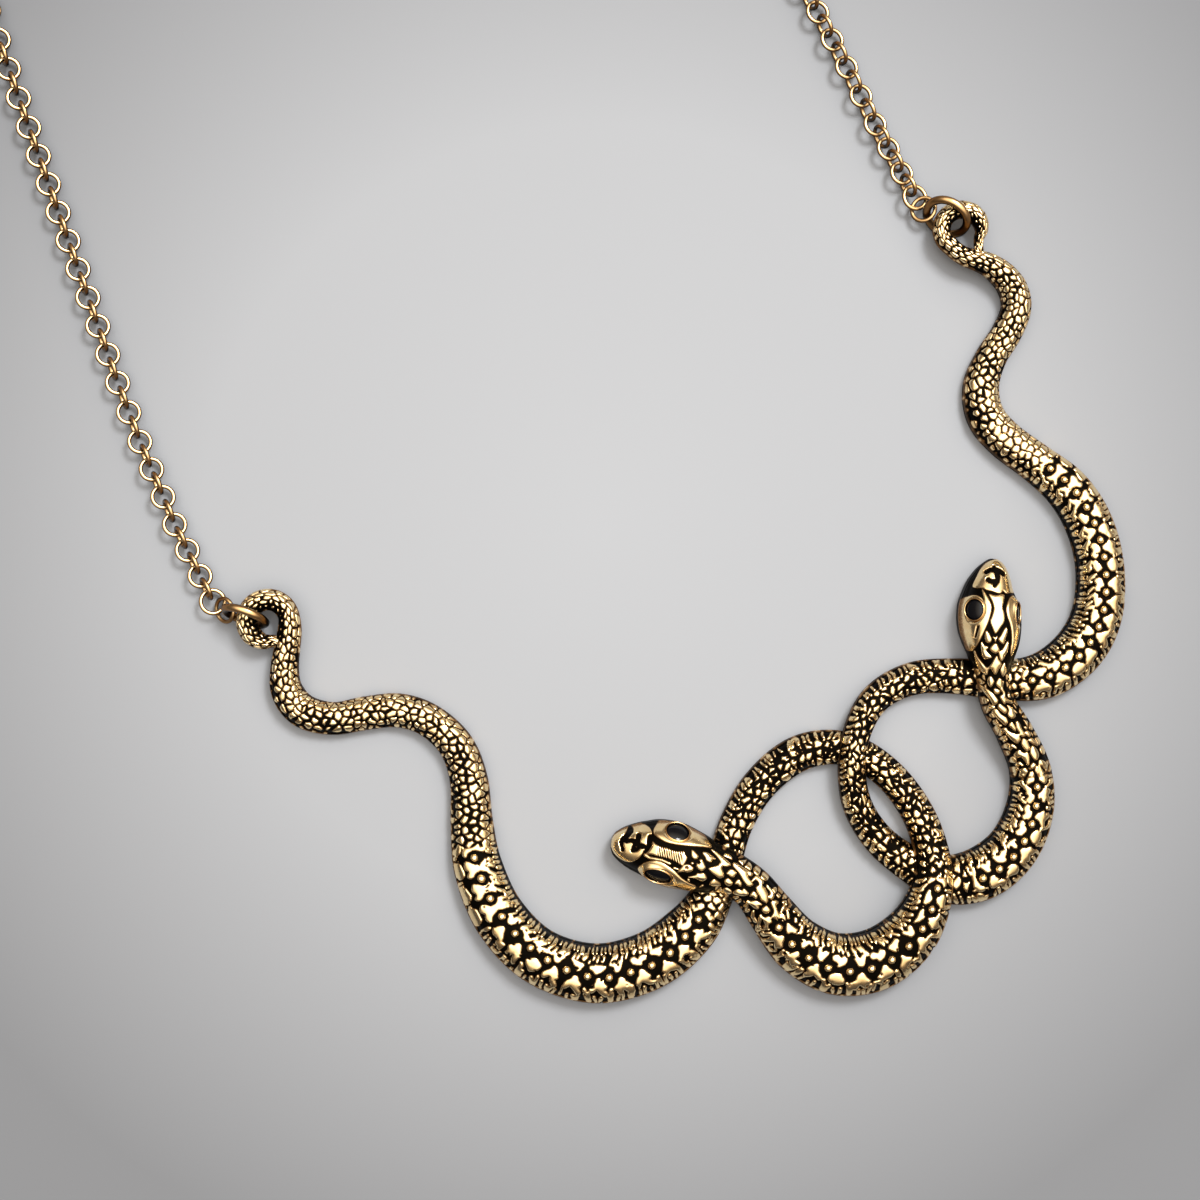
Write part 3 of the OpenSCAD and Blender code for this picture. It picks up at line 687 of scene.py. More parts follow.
def closed_ring(name, points):
    """A closed tube over a grid of points, round both ways."""
    n, m = points.shape[:2]
    i, j = np.arange(n)[:, None], np.arange(m)[None, :]
    quads = np.stack([i * m + j, (i + 1) % n * m + j, (i + 1) % n * m + (j + 1) % m,
                      i * m + (j + 1) % m], -1).reshape(-1, 4)
    flat = placed(points).reshape(-1, 3)
    corners = flat[quads] - flat.mean(0)
    volume = np.einsum("ij,ij->", corners[:, 0], np.cross(corners[:, 1], corners[:, 2])
                       + np.cross(corners[:, 2], corners[:, 3]))
    if volume < 0:
        quads = quads[:, ::-1]
    mesh = bpy.data.meshes.new(name)
    mesh.from_pydata(flat.tolist(), [], quads.tolist())
    mesh.polygons.foreach_set("use_smooth", np.ones(len(quads), bool))
    mesh.update()
    piece = bpy.data.objects.new(name, mesh)
    bpy.context.scene.collection.objects.link(piece)
    return piece


# Carving of the bodies
FLOOR = -0.2
STUD_TOP = 0.24

# Plates between two studs, whose distance counts as 2.5. Each point is (along from halfway,
# outward of the bend), where the body's edge counts as 3.4.
OUTER_PLATES = (
    [(-0.1, 0.3), (0.3, 0.45), (0.55, 0.95), (0.9, 1.3), (0.85, 1.9), (0.75, 2.35), (0.45, 2.2),
     (0.2, 1.75), (-0.1, 2.1), (-0.45, 2.3), (-0.6, 1.8), (-0.85, 1.35), (-0.5, 0.95)],
    [(-0.35, 0.4), (0.1, 0.3), (0.45, 0.9), (0.9, 1.35), (1.05, 2.0), (0.75, 2.2), (0.25, 1.8),
     (-0.3, 1.85), (-0.7, 1.5), (-0.6, 0.95)],
    [(0.05, 0.25), (0.35, 0.8), (0.8, 1.3), (0.9, 1.9), (0.6, 2.25), (0.15, 1.9), (-0.35, 2.0),
     (-0.7, 2.3), (-0.85, 1.7), (-0.6, 1.15), (-0.25, 0.75)],
    [(-0.2, 0.5), (0.3, 0.55), (0.75, 1.0), (0.75, 1.6), (0.2, 2.0), (-0.45, 1.9), (-0.8, 1.4),
     (-0.6, 0.9)],
    [(-0.15, 0.2), (0.25, 0.35), (0.5, 0.85), (0.75, 1.25), (0.5, 1.6), (0.75, 2.1),
     (0.55, 2.45), (0.1, 2.0), (-0.3, 1.6), (-0.75, 2.0), (-1.0, 1.7), (-0.75, 1.2),
     (-0.4, 0.8)])
INNER_PLATES = (
    [(-0.95, -1.0), (-0.5, -0.8), (-0.15, -0.45), (0.3, -0.6), (0.75, -0.95), (1.05, -1.25),
     (0.6, -1.4), (0.1, -1.45), (-0.4, -1.5), (-0.85, -1.35)],
    [(-0.75, -0.85), (-0.2, -0.5), (0.25, -0.45), (0.45, -0.85), (1.0, -1.0), (1.15, -1.4),
     (0.6, -1.6), (0.0, -1.35), (-0.5, -1.6), (-0.9, -1.3)],
    [(-0.6, -1.0), (-0.25, -0.4), (0.2, -0.5), (0.5, -1.0), (0.8, -1.6), (0.4, -1.75),
     (0.05, -1.35), (-0.4, -1.65), (-0.8, -1.5)],
    [(-0.8, -1.3), (-0.3, -0.95), (0.0, -0.5), (0.35, -0.6), (0.85, -1.2), (0.5, -1.45),
     (-0.1, -1.6), (-0.6, -1.65)])
JOINED_PLATES = (
    [(0.75, -1.55), (0.4, -0.9), (0.25, -0.2), (0.4, 0.5), (0.8, 1.1), (0.7, 1.6), (0.25, 1.25),
     (-0.25, 1.6), (-0.75, 1.4), (-0.55, 0.7), (-0.3, 0.1), (-0.25, -0.5), (-0.55, -1.1),
     (-0.8, -1.5), (-0.3, -1.45), (0.1, -1.1), (0.4, -1.5)],
    [(0.5, -1.7), (0.45, -1.0), (0.2, -0.4), (0.35, 0.4), (0.6, 0.9), (0.95, 1.3), (0.6, 1.6),
     (0.1, 1.3), (-0.4, 1.7), (-0.8, 1.3), (-0.5, 0.6), (-0.25, 0.0), (-0.4, -0.7),
     (-0.9, -1.2), (-0.6, -1.6), (-0.05, -1.3)])
RIM_LOBES = (
    [(-0.75, 2.05), (-0.1, 1.85), (0.55, 2.1), (0.8, 2.8), (0.6, 3.4), (-0.6, 3.4), (-0.9, 2.6)],
    [(-0.6, 2.2), (0.2, 1.9), (0.7, 2.3), (0.6, 2.8), (0.85, 3.4), (-0.8, 3.4), (-0.85, 2.7)])


def chosen(shapes, pick, x, y):
    """Depth inside the one of several outlines that each point's random number picks."""
    which = np.floor(pick * len(shapes))
    depth = np.full(x.shape, -1.0)
    for number, outline in enumerate(shapes):
        here = which == number
        if here.any():
            depth[here] = within(outline, x[here], y[here])
    return depth


def teeth(x, y, pitch, low, high, radius, lean, seed):
    """Depth inside a comb: bars in y at even steps of x, each moved, leant, cut short and
    thickened by its own random numbers. low gives where a bar starts from where it stands."""
    n = np.round(x / pitch)
    depth = np.full(x.shape, -1.0)
    for near in (-1, 0, 1):
        own = [chance(n + near, 0 * n, seed + k) - 0.5 for k in range(4)]
        foot = (n + near + 0.45 * own[0]) * pitch
        start = low(foot) + 0.45 * own[1]
        bent = lean + 0.7 * own[2]
        size = radius * (1 + 0.7 * own[3])
        depth = np.maximum(depth, bar(x, y, foot, start, size, foot + bent * (high - start),
                                      high + 0 * foot, size))
    return depth


def studded(s, v, half, first, pitch, count, seed, joined, shift, stud_size, fuller):
    """Back of a thick stretch, v being outward of the bend: studs in moats on the middle line,
    a hoofed plate outward and a winged one inward between each two, combs beyond, and rims.
    The first few pairs of plates are joined across, and all plates reach further than their
    outlines by fuller."""
    full = 3.4 / half
    q = (s - first) / pitch
    stud = np.clip(np.round(q), 0, count - 1)
    stud_r, moat_r = stud_size
    sideways = np.interp(np.clip(q, 0, count - 1), np.arange(count), shift)
    w = v * full
    x = s + 0.08 * ripple(s * 0.9, w * 0.9, seed) + 0.05 * ripple(s * 2.2, w * 2.2, seed + 1)
    y = w + 0.08 * ripple(s * 0.9, w * 0.9 + 40, seed + 2) \
        + 0.05 * ripple(s * 2.2, w * 2.2 + 40, seed + 3)
    p = (x - first) / pitch - 0.5
    k = np.round(p)
    b = (p - k) * 2.5
    moved = y - 0.7 * sideways * full * (1 - rising(np.abs(y), 1.2, 2.6))
    own = [chance(k, 0 * k + n, seed) for n in range(6)]
    outer = chosen(OUTER_PLATES, own[0], b + 0.24 * (own[2] - 0.5), moved + 0.2 * (own[3] - 0.5))
    inner = chosen(INNER_PLATES, own[1], b + 0.24 * (own[4] - 0.5), moved)
    tie = chosen(JOINED_PLATES, own[1], b, moved)
    lobe = chosen(RIM_LOBES, own[2], b, y)

    def reach_in(far, by):
        """Where a comb's bars start: nearer to the middle line beside a stud."""
        def start(foot):
            place = (foot - first) / pitch - 0.5
            return far - by * rising(np.abs(place - np.round(place)), 0.28, 0.4)
        return start

    joint = k < joined
    plates = np.minimum(np.maximum(outer, inner) + fuller, 2.5 - y)
    depth = np.where(joint, np.maximum(tie + 0.17, lobe), plates)
    comb = teeth(x, y, 0.6, reach_in(2.5, 0.8), 3.2, 0.18, 0.1, seed + 8)
    depth = np.maximum(depth, np.where(joint & (y < 2.5), -1, comb))
    depth = np.maximum(depth, teeth(x, -y, 0.9, reach_in(2.0, 0.4), 2.35, 0.23, 0.8, seed + 9))
    depth = np.maximum(depth, teeth(x, -y, 0.75, reach_in(2.7, 0), 3.15, 0.22, 0.2, seed + 10))
    depth = np.maximum(depth, w - 3.14)
    depth = depth - 0.28 * rising(ripple(x * 2.3, y * 2.3, seed + 14), 0.55, 0.85)
    height = FLOOR * (1 - pillow(depth + 0.04, 0.12)) + 0.03 * rising(depth, 0, 0.5)

    r = np.hypot(s - first - stud * pitch, v - sideways)
    size = stud_r + 0.05 * (chance(stud, 0 * stud, seed + 12) - 0.5)
    dome = np.sqrt(np.clip(1 - (r / size) ** 3, 0, 1))
    moat = 1 - rising(r, moat_r - 0.07, moat_r + 0.05)
    height = height * (1 - moat) + FLOOR * moat
    return np.maximum(height, FLOOR + (STUD_TOP - FLOOR) * dome)


def cobbled(s, v, half, groove, parted, seed):
    """Tail skin: scales with straight sides, four or five across and some grown together, in
    dark grooves that are wider where parted is more, with a smooth rim on each side."""
    w = v * 2.1 / half
    x = s + 0.12 * ripple(s * 0.8, w * 0.8, seed) + 0.1 * ripple(s * 2, w * 2, seed + 1)
    y = w + 0.1 * ripple(s * 1.1, w * 1.1 + 20, seed + 3)
    depth, _ = pebbles(x, y, 1.05, 0.88, 0.65, seed)
    notch = groove + 0.08 * ripple(x * 1.5, y * 1.5, seed + 2) + parted \
        + 0.06 * ripple(x * 0.35, y * 0.5, seed + 4)
    depth = np.maximum(depth - np.maximum(notch, 0.06), np.abs(w) - 2.0)
    return FLOOR * (1 - pillow(depth + 0.02, 0.11)) + 0.015 * rising(depth, 0, 0.3)


def blobbed(s, v, half, bend, seed):
    """Thin stretch: small irregular blobs, some grown together and some nicked, on a dark
    floor, and a comb at the outward edge."""
    w = v * 2.15 / half
    x = s + 0.15 * ripple(s, w, seed) + 0.12 * ripple(s * 2.4, w * 2.4, seed + 1)
    y = w + 0.15 * ripple(s * 1.3, w * 1.3 + 30, seed + 2)
    depth, _ = pebbles(x, y, 1.15, 1.0, 0.9, seed)
    depth = depth - 0.2 - 0.14 * ripple(x * 1.4, y * 1.4, seed + 4)
    depth = depth - 0.3 * rising(ripple(x * 2.7, y * 2.7, seed + 5), 0.5, 0.8)
    for edge in (1, -1):
        here = rising(bend * edge, 0.3, 0.7)
        comb = teeth(x, y * edge, 0.68, lambda foot: 1.25 + 0 * foot, 1.95, 0.18, 0.3,
                     seed + 8 + edge)
        depth = np.maximum(depth - here * rising(y * edge, 1.05, 1.25), comb - 1 + here)
    depth = np.maximum(depth, np.abs(w) - 2.05)
    return FLOOR * (1 - pillow(depth + 0.01, 0.11)) + 0.02 * rising(depth, 0, 0.3)


def kited(s, v, half, seed):
    """Neck: large kite scales that lie over each other, longer than wide."""
    w = v * 2.7 / half
    x = s + 0.15 * ripple(s * 0.8, w * 0.8, seed)
    depth, _ = pebbles(x, w, 1.9, 1.15, 0.5, seed)
    depth = np.maximum(depth - 0.14, np.abs(w) - 2.5)
    return FLOOR * (1 - pillow(depth + 0.02, 0.13)) + 0.03 * rising(depth, 0, 0.45)


# Studded stretches: rows between which the studs stand, their number, the side that is outward
# of the bend (1 for the right of travel), the number of plates that are joined across, and how
# far each stud stands outward of the middle line
LEFT_STUDS = [
    dict(rows=(10.74, 16.35), count=15, outer=1, joined=3, seed=11, fuller=0.05, stud=(0.48, 0.8),
         shift=(0, -0.2, -0.35, -0.6, -0.6, -0.7, -0.6, -0.3, -0.1, 0.1, 0, 0.2, 0.1,
                -0.2, -0.3)),
    dict(rows=(26.7, 32.9), count=13, outer=-1, joined=0, seed=23, fuller=0.05, stud=(0.46, 0.78),
         shift=(0.3,) * 13)]
RIGHT_STUDS = [
    dict(rows=(9.3, 15.4), count=16, outer=-1, joined=3, seed=37, fuller=0.14, stud=(0.44, 0.72),
         shift=(0.1,) * 16),
    dict(rows=(25.9, 28.6), count=7, outer=1, joined=0, seed=41, fuller=0.1, stud=(0.46, 0.76),
         shift=(0.15,) * 7)]
LEFT_CARVING = dict(stretches=LEFT_STUDS, ring_rows=(17.3, 26.2), neck_from=33, tail_groove=0.13,
                    seed=3)
RIGHT_CARVING = dict(stretches=RIGHT_STUDS, ring_rows=(16.2, 25.2), neck_from=28.9, tail_groove=0.1,
                     seed=7)


def body_relief(rows, s, v, half, stretches, ring_rows, neck_from, tail_groove, seed):
    """Relief of a whole body in millimetres: each stretch has its own carving, and neighbouring
    ones pass into each other by smooth steps along the body. The walls stay smooth but for
    faint ticks. Also gives how bright each place is: 0 in the blackened recesses, 1 on the
    worn tops, and darker down the walls with painted shade, sooner on the inward side of a bend."""
    def at(row):
        return float(row_distance(rows, np.array([row + BODY_ROW]))[0])

    bend = outward(rows, s)
    over = np.abs(v) / half
    side = bend * np.sign(v)
    curl = 1 - rising(s, at(-0.8), at(1.0))
    # painted light and shade carved into the tail: its blackened grooves close up on the side that
    # faces the light and open wider on the side away from it
    lit = lit_side(rows, s) * v / half
    parted = curl * (0.2 * rising(-side * over, 0, 0.8) - 0.06 * rising(side * over, 0, 0.6)) \
        - 0.09 * rising(lit, 0.2, 0.7) + 0.06 * rising(-lit, 0, 0.7)
    height = cobbled(s, v, half, tail_groove, parted, seed)
    thin = rising(s, at(ring_rows[0]) - 1, at(ring_rows[0]) + 1)
    height = height * (1 - thin) + blobbed(s, v, half, bend, seed + 3) * thin
    neck = rising(s, at(neck_from) - 1, at(neck_from) + 1)
    height = height * (1 - neck) + kited(s, v, half, seed + 5) * neck
    for stretch in stretches:
        first, last = (at(row) for row in stretch["rows"])
        pitch = (last - first) / (stretch["count"] - 1)
        here = rising(s, first - 1.6, first - 0.8) * (1 - rising(s, last + 0.8, last + 1.6))
        carved = studded(s, v * stretch["outer"], half, first, pitch, stretch["count"],
                         stretch["seed"], stretch["joined"], stretch["shift"],
                         stretch["stud"], stretch["fuller"])
        height = height * (1 - here) + carved * here
    wall = rising(over, 1.0, 1.12)
    tick = np.maximum(ripple(s * 2.6, 0 * s + side, seed + 9), 0)
    height = height * (1 - wall) - 0.06 * wall * (1 - tick) * (1 - rising(over, 1.5, 1.6))
    relief = np.clip((height - FLOOR) / -FLOOR, 0, 1.5)
    # painted shade: the relief dims toward the outward edge of a bend
    relief = relief * (1 - 0.2 * rising(over * side, 0.84, 0.92))
    # painted shade: the walls darken from where the back turns down, sooner on the inward side of a
    # bend; the share left bright is more on the outward side and on the raised ticks
    wall_shade_from = 0.91 - 0.3 * curl * (1 - rising(side, -0.4, 0.4))
    wall_shade = rising(over, wall_shade_from, wall_shade_from + 0.06 + 0.06 * curl)
    worn = 0.3 + 0.12 * rising(side, -0.4, 0.4) + 0.5 * tick * (1 - rising(over, 1.25, 1.5))
    return height, relief * (1 - wall_shade * (1 - worn))


SKIN_STEP = 0.125
DOME_STEPS, WALL_STEPS, FLOOR_STEPS = 80, 8, 2


def body_pieces(name, rows, parts, **carving):
    """The swept and carved body in several closed pieces that share their end sections."""
    made = []
    t, s = walk(rows, 0, BODY_ROW + parts[-1], SKIN_STEP)
    cuts = [int(np.argmin(np.abs(t - (BODY_ROW + p)))) for p in parts[:-1]]
    cuts = [0, *cuts, len(t) - 1]
    for number, (a, b) in enumerate(zip(cuts[:-1], cuts[1:]), 1):
        tt, ss = t[a:b + 1], s[a:b + 1]
        middle, right, x, z, nx, nz, out, half = skin(rows, tt, DOME_STEPS, WALL_STEPS,
                                                      FLOOR_STEPS)
        along = np.broadcast_to(ss[:, None], x.shape)
        height, relief = body_relief(rows, along, out, half, **carving)
        height = np.where(nz < -0.01, 0, height)
        x, z = x + nx * height, z + nz * height
        points = np.stack([middle[:, :1] + right[:, :1] * x, middle[:, 1:] + right[:, 1:] * x,
                           np.maximum(z, 0)], -1)
        made.append(lofted(f"{name}_{number}", points, relief))
    return made


# Heads and necks
HEAD_STEP = 0.09
HEAD_DOME_STEPS, HEAD_WALL_STEPS, HEAD_FLOOR_STEPS = 150, 12, 3
HEAD_FLOOR = -0.22
CHEEK_HALF = np.array([3.3, 1.65, 1.3])
CHEEK_BACK, CHEEK_SHOW = 1.0, 0.2
OPENING_DEPTH, OPENING_LEVEL = 1.0, -0.05


def at_eye(eye, gaze):
    """An eye's point, and the unit vectors of its own frame as columns: toward the snout,
    across, and along its gaze. The frame is turned about z to the gaze's direction in plan,
    tilted from straight up, and turned back about the gaze until its first vector points to
    the snout."""
    def about_z(degrees):
        c, s = math.cos(math.radians(degrees)), math.sin(math.radians(degrees))
        return np.array([[c, -s, 0], [s, c, 0], [0, 0, 1]])

    c, s = math.cos(math.radians(eye[4])), math.sin(math.radians(eye[4]))
    tilt = np.array([[c, 0, s], [0, 1, 0], [-s, 0, c]])
    return np.array(eye[:3]), about_z(eye[3]) @ tilt @ about_z(gaze - eye[3])


def cheek_swell(points, normals, eye, gaze):
    """How far each point of a head moves out along its normal to lie on the cheek, a flattened
    ball: the far root of the quadratic for the ray's crossing of the ball, joined to zero by a
    smooth maximum."""
    at, turn = at_eye(eye, gaze)
    middle = at + turn @ np.array([-CHEEK_BACK, 0, CHEEK_SHOW - CHEEK_HALF[2]])
    q = (points - middle) @ turn / CHEEK_HALF
    m = normals @ turn / CHEEK_HALF
    a, b, c = (m * m).sum(-1), (q * m).sum(-1), (q * q).sum(-1) - 1
    inner = b * b - a * c
    far = np.where(inner > 0, (np.sqrt(np.maximum(inner, 0)) - b) / a, -1)
    soft = 0.3
    share = np.clip(0.5 + 0.5 * far / soft, 0, 1)
    return np.minimum(far * share + soft * share * (1 - share), 1.6)


def opening_place(plates, eye, gaze, opening):
    """An eye's opening in the eye's own frame: its middle's place toward the snout and across,
    found from its place in plan by solving for the two unit vectors' shares."""
    at, turn = at_eye(eye, gaze)
    axis = np.array(plates["axis"])
    left = np.array([-axis[1], axis[0]])
    plan = np.array(plates["tip"]) + opening[0] * axis + opening[1] * left
    return np.linalg.solve(turn[:2, :2], plan - at[:2])


# Photo that the crops come from: its middle and its scale at one height, seen from straight above
PHOTO_MIDDLE = 600
PIXELS_PER_MM, SCALE_HEIGHT = 8, 2.5
CAMERA_HEIGHT = 275
# Skin that the crops' points are laid on: rows before a head's start, step, and upward parts
TRACE_ROWS_BEFORE, TRACE_STEP = 2.9, 0.1
TRACE_DOME_STEPS, TRACE_WALL_STEPS, TRACE_FLOOR_STEPS = 100, 12, 3
TRACE_UPWARD = 0.02
TRACE_DECIMALS = 1


def photo_scale(z):
    """Pixels of the photo to a millimetre at a height."""
    return PIXELS_PER_MM * (CAMERA_HEIGHT - SCALE_HEIGHT) / (CAMERA_HEIGHT - z)


def traced_plates(rows, plates):
    """The plates with the scales, cuts and ridges of their crops as (along, across), to 0.1 mm.
    A crop's point is taken at the height of the skin's nearest point as the photo shows it."""
    first_row = BODY_ROW + plates["start"] - TRACE_ROWS_BEFORE
    t, _ = walk(rows, first_row, len(rows) - 1, TRACE_STEP)
    middle, right, x, z, _, nz, _, _ = skin(rows, t, TRACE_DOME_STEPS, TRACE_WALL_STEPS,
                                            TRACE_FLOOR_STEPS)
    upward = nz > TRACE_UPWARD
    height = z[upward]
    seen_x = PHOTO_MIDDLE + (middle[:, :1] + right[:, :1] * x)[upward] * photo_scale(height)
    seen_y = PHOTO_MIDDLE - (middle[:, 1:] + right[:, 1:] * x)[upward] * photo_scale(height)
    axis = np.array(plates["axis"])

    def to_head(picked, crop):
        """A crop's points as (along, across)."""
        pixels = np.array(picked, float) / crop["zoom"] + crop["corner"]
        nearest = ((pixels[:, :1] - seen_x) ** 2 + (pixels[:, 1:] - seen_y) ** 2).argmin(1)
        scale = photo_scale(height[nearest])
        plan = np.stack([(pixels[:, 0] - PHOTO_MIDDLE) / scale,
                         (PHOTO_MIDDLE - pixels[:, 1]) / scale], 1) - plates["traced_from"]
        return np.round(np.stack([plan @ axis, plan @ [-axis[1], axis[0]]], 1), TRACE_DECIMALS)

    crops = plates["crops"]
    strokes = {kind: [(to_head(picked, crop), first, last)
                      for crop in crops for picked, first, last in crop[kind]]
               for kind in ("cuts", "ridges")}
    return dict(plates, cuts=plates["cuts"] + strokes["cuts"], ridges=strokes["ridges"],
                scales=[to_head(picked, crop) for crop in crops for picked in crop["scales"]])


def head_relief(plates, along, across):
    """Relief of a head's top: broad plates and scales stand on a dark floor with rounded
    edges, cuts go down to the floor again, and ridges stand between the plates."""
    broad = np.full(along.shape, -1.0)
    for outline in plates["broad"]:
        broad = np.maximum(broad, within(outline, along, across))
    scales = np.full(along.shape, -1.0)
    for outline in plates["scales"]:
        scales = np.maximum(scales, within(outline, along, across))
    for points, first, last in plates["ridges"]:
        scales = np.maximum(scales, stroke(points, first, last, along, across))
    rise = np.maximum(pillow(broad + 0.03, 0.28), pillow(scales + 0.07, 0.2))
    for points, first, last in plates["cuts"]:
        rise = np.minimum(rise, 1 - pillow(stroke(points, first, last, along, across) + 0.1, 0.1))
    height = HEAD_FLOOR * (1 - rise) + 0.1 * rising(scales, -0.05, 0.5)
    if plates["hatched"]:
        low, high, near, far = plates["hatched"]
        here = rising(along, low, low + 0.5) * (1 - rising(along, high - 0.6, high)) \
            * rising(across, near, near + 0.3) * (1 - rising(across, far - 0.3, far))
        line = 0.5 + 0.5 * np.sin(2 * math.pi * (along + 0.45 * across
                                                 + 0.05 * ripple(along * 3, across * 3, 2)) / 0.3)
        height = height - 0.17 * here * line * rise
    return height


def head_piece(name, rows, plates, eyes, gaze, carving):
    """A head with its neck: the skin, swelled by the cheeks, flattened round each eye's
    opening, and carved with the plates. Near its start it takes the body's own relief."""
    start = BODY_ROW + plates["start"]
    t, s = walk(rows, start, len(rows) - 1, HEAD_STEP)
    middle, right, x, z, nx, nz, out, half = skin(rows, t, HEAD_DOME_STEPS, HEAD_WALL_STEPS,
                                                  HEAD_FLOOR_STEPS)
    s = (s + row_distance(rows, np.array([start]))[0])[:, None] + 0 * x
    points = np.stack([middle[:, :1] + right[:, :1] * x, middle[:, 1:] + right[:, 1:] * x, z], -1)
    normals = np.stack([right[:, :1] * nx, right[:, 1:] * nx, nz], -1)
    swell = np.zeros(x.shape)
    for eye in eyes:
        swell = np.maximum(swell, cheek_swell(points, normals, eye, gaze))
    points = points + normals * (swell * (nz > -0.01))[..., None]
    axis = np.array(plates["axis"])
    plan = points[..., :2] - np.array(plates["tip"])
    along = plan @ axis
    across = plan @ np.array([-axis[1], axis[0]])

    begun = rising(s, s.min() + 0.3, s.min() + 1.6)
    neck = rising(along, plates["neck"], plates["neck"] + 1.5)
    # worn is the body's relief here, painted wall shade included
    plain, worn = body_relief(rows, s, out, half, **carving)
    height = head_relief(traced_plates(rows, plates), along, across)
    blobs, near = pebbles(s, out, 1.15, 0.85, 0.8, 5)
    edge = np.minimum(np.minimum(blobs - 0.1, 0.5 - near), np.abs(out) - 0.68 * half) - 1 + neck
    free = HEAD_FLOOR * (1 - pillow(edge + 0.03, 0.24))
    height = np.maximum(height, np.where(height < 0.9 * HEAD_FLOOR, free, height))
    carved = np.clip((height - HEAD_FLOOR) / -HEAD_FLOOR, 0, 1.5)
    height = height * rising(nz, 0.12, 0.34)
    height = height * begun + plain * (1 - begun)
    mouth = np.abs(z - (0.75 + 0.3 * points[..., 2].max(1, keepdims=True)))
    lips = (1 - rising(mouth, 0.06, 0.2)) * (1 - rising(nz, 0.1, 0.25)) * (nz > -0.01) \
        * (1 - rising(along, 8.5, 10)) * rising(along, 0.1, 0.6)
    height = np.where(nz < -0.01, 0, height - 0.18 * lips)
    rim = np.abs(out) / half
    # painted shade: the relief dims toward the head's outline, darkens down its walls and is black
    # on its underside
    carved = np.minimum(carved, 1 - 0.42 * rising(rim, 0.86, 0.98)) \
        * (1 - 0.8 * rising(rim, 0.99, 1.06)) * (nz > -0.01)
    relief = carved * begun + worn * (1 - begun)

    for eye, opening in zip(eyes, plates["openings"]):
        at, turn = at_eye(eye, gaze)
        own = (points - at) @ turn
        place = opening_place(plates, eye, gaze, opening)
        r = np.hypot((own[..., 0] - place[0]) / opening[2], (own[..., 1] - place[1]) / opening[3])
        near = (np.abs(own[..., 2]) < 2.2) & (nz > -0.01)
        flat = np.where(near, 1 - rising(r, 1.04, 1.36), 0)
        drop = (OPENING_LEVEL - own[..., 2]) * flat \
            - np.where(near, OPENING_DEPTH * (1 - rising(r, 0.9, 1.0)), 0)
        points = points + drop[..., None] * turn[:, 2]
        height = height * (1 - flat)
        relief = relief * (1 - flat) + flat * np.where(r < 1.02, 0, 1)
    points = points + normals * height[..., None]
    points[..., 2] = np.maximum(points[..., 2], 0)
    return lofted(name, points, relief)


def eye_rim(name, plates, eye, gaze, opening):
    """Rolled rim of an eye's opening: a thin tube carried round an ellipse."""
    at, turn = at_eye(eye, gaze)
    place = opening_place(plates, eye, gaze, opening)
    wire = 0.1
    around = np.linspace(0, 2 * math.pi, 97)[:-1][:, None]
    section = np.linspace(0, 2 * math.pi, 13)[:-1][None, :]
    reach = wire * np.cos(section)
    c, s = np.cos(around), np.sin(around)
    nx, ny = c / opening[2], s / opening[3]
    size = np.hypot(nx, ny)
    own = np.stack([place[0] + opening[2] * c + reach * nx / size,
                    place[1] + opening[3] * s + reach * ny / size,
                    OPENING_LEVEL + wire * np.sin(section) + 0 * around], -1)
    return closed_ring(name, at + own @ turn.T)


STONE_EDGE, STONE_RISE, STONE_FOOT, STONE_FIT = -0.42, 0.42, -0.9, 0.97


def eye_stone(name, plates, eye, gaze, opening):
    """Stone that fills an eye's opening: an upright rim round an ellipse, and over it a dome
    whose height goes as the sine of the angle whose cosine is the share of the radius."""
    at, turn = at_eye(eye, gaze)
    place = opening_place(plates, eye, gaze, opening)
    rise = np.linspace(0, 0.495 * math.pi, 22)
    reach = STONE_FIT * np.concatenate([[1.0], np.cos(rise)])[:, None]
    level = np.concatenate([[STONE_FOOT], STONE_EDGE + STONE_RISE * np.sin(rise)])[:, None]
    around = np.linspace(0, 2 * math.pi, 65)[:-1][None, :]
    own = np.stack([place[0] + opening[2] * reach * np.cos(around),
                    place[1] + opening[3] * reach * np.sin(around), level + 0 * around], -1)
    return lofted(name, at + own @ turn.T, np.ones(own.shape[:2]))


# Finishes
def material(name):
    made = bpy.data.materials.new(name)
    made.use_nodes = True
    nodes = made.node_tree.nodes
    return made, nodes, made.node_tree.links, nodes["Principled BSDF"]


def cloud(nodes, links, scale, detail):
    """Noise on the piece's own coordinates."""
    place = nodes.new("ShaderNodeTexCoord")
    noise = nodes.new("ShaderNodeTexNoise")
    noise.inputs["Scale"].default_value = scale
    noise.inputs["Detail"].default_value = detail
    links.new(place.outputs["Object"], noise.inputs["Vector"])
    return noise.outputs["Fac"]


def ramped(nodes, links, value, first, last):
    """Colour that goes from one stop to another, each a position and a colour."""
    ramp = nodes.new("ShaderNodeValToRGB")
    for stop, (position, colour) in zip(ramp.color_ramp.elements, (first, last)):
        stop.position, stop.color = position, (*colour, 1)
    links.new(value, ramp.inputs["Fac"])
    return ramp.outputs["Color"]


def smooth_share(nodes, links, value, low, high):
    """Smooth step of a value: 0 below low, 1 above high."""
    share = nodes.new("ShaderNodeMapRange")
    share.interpolation_type = "SMOOTHSTEP"
    share.inputs["From Min"].default_value = low
    share.inputs["From Max"].default_value = high
    links.new(value, share.inputs["Value"])
    return share.outputs["Result"]


def blended(nodes, links, share, plain, covering):
    """The plain colour where the share is 0, the covering one where it is 1."""
    mix = nodes.new("ShaderNodeMix")
    mix.data_type = "RGBA"
    links.new(share, mix.inputs["Factor"])
    links.new(plain, mix.inputs["A"])
    links.new(covering, mix.inputs["B"])
    return mix.outputs["Result"]


def scaled(colour, share):
    """A colour times a share."""
    return tuple(share * c for c in colour)


# Position of the stops of the gold's tint over its noise
TINT_FROM, TINT_TO = 0.3, 0.7


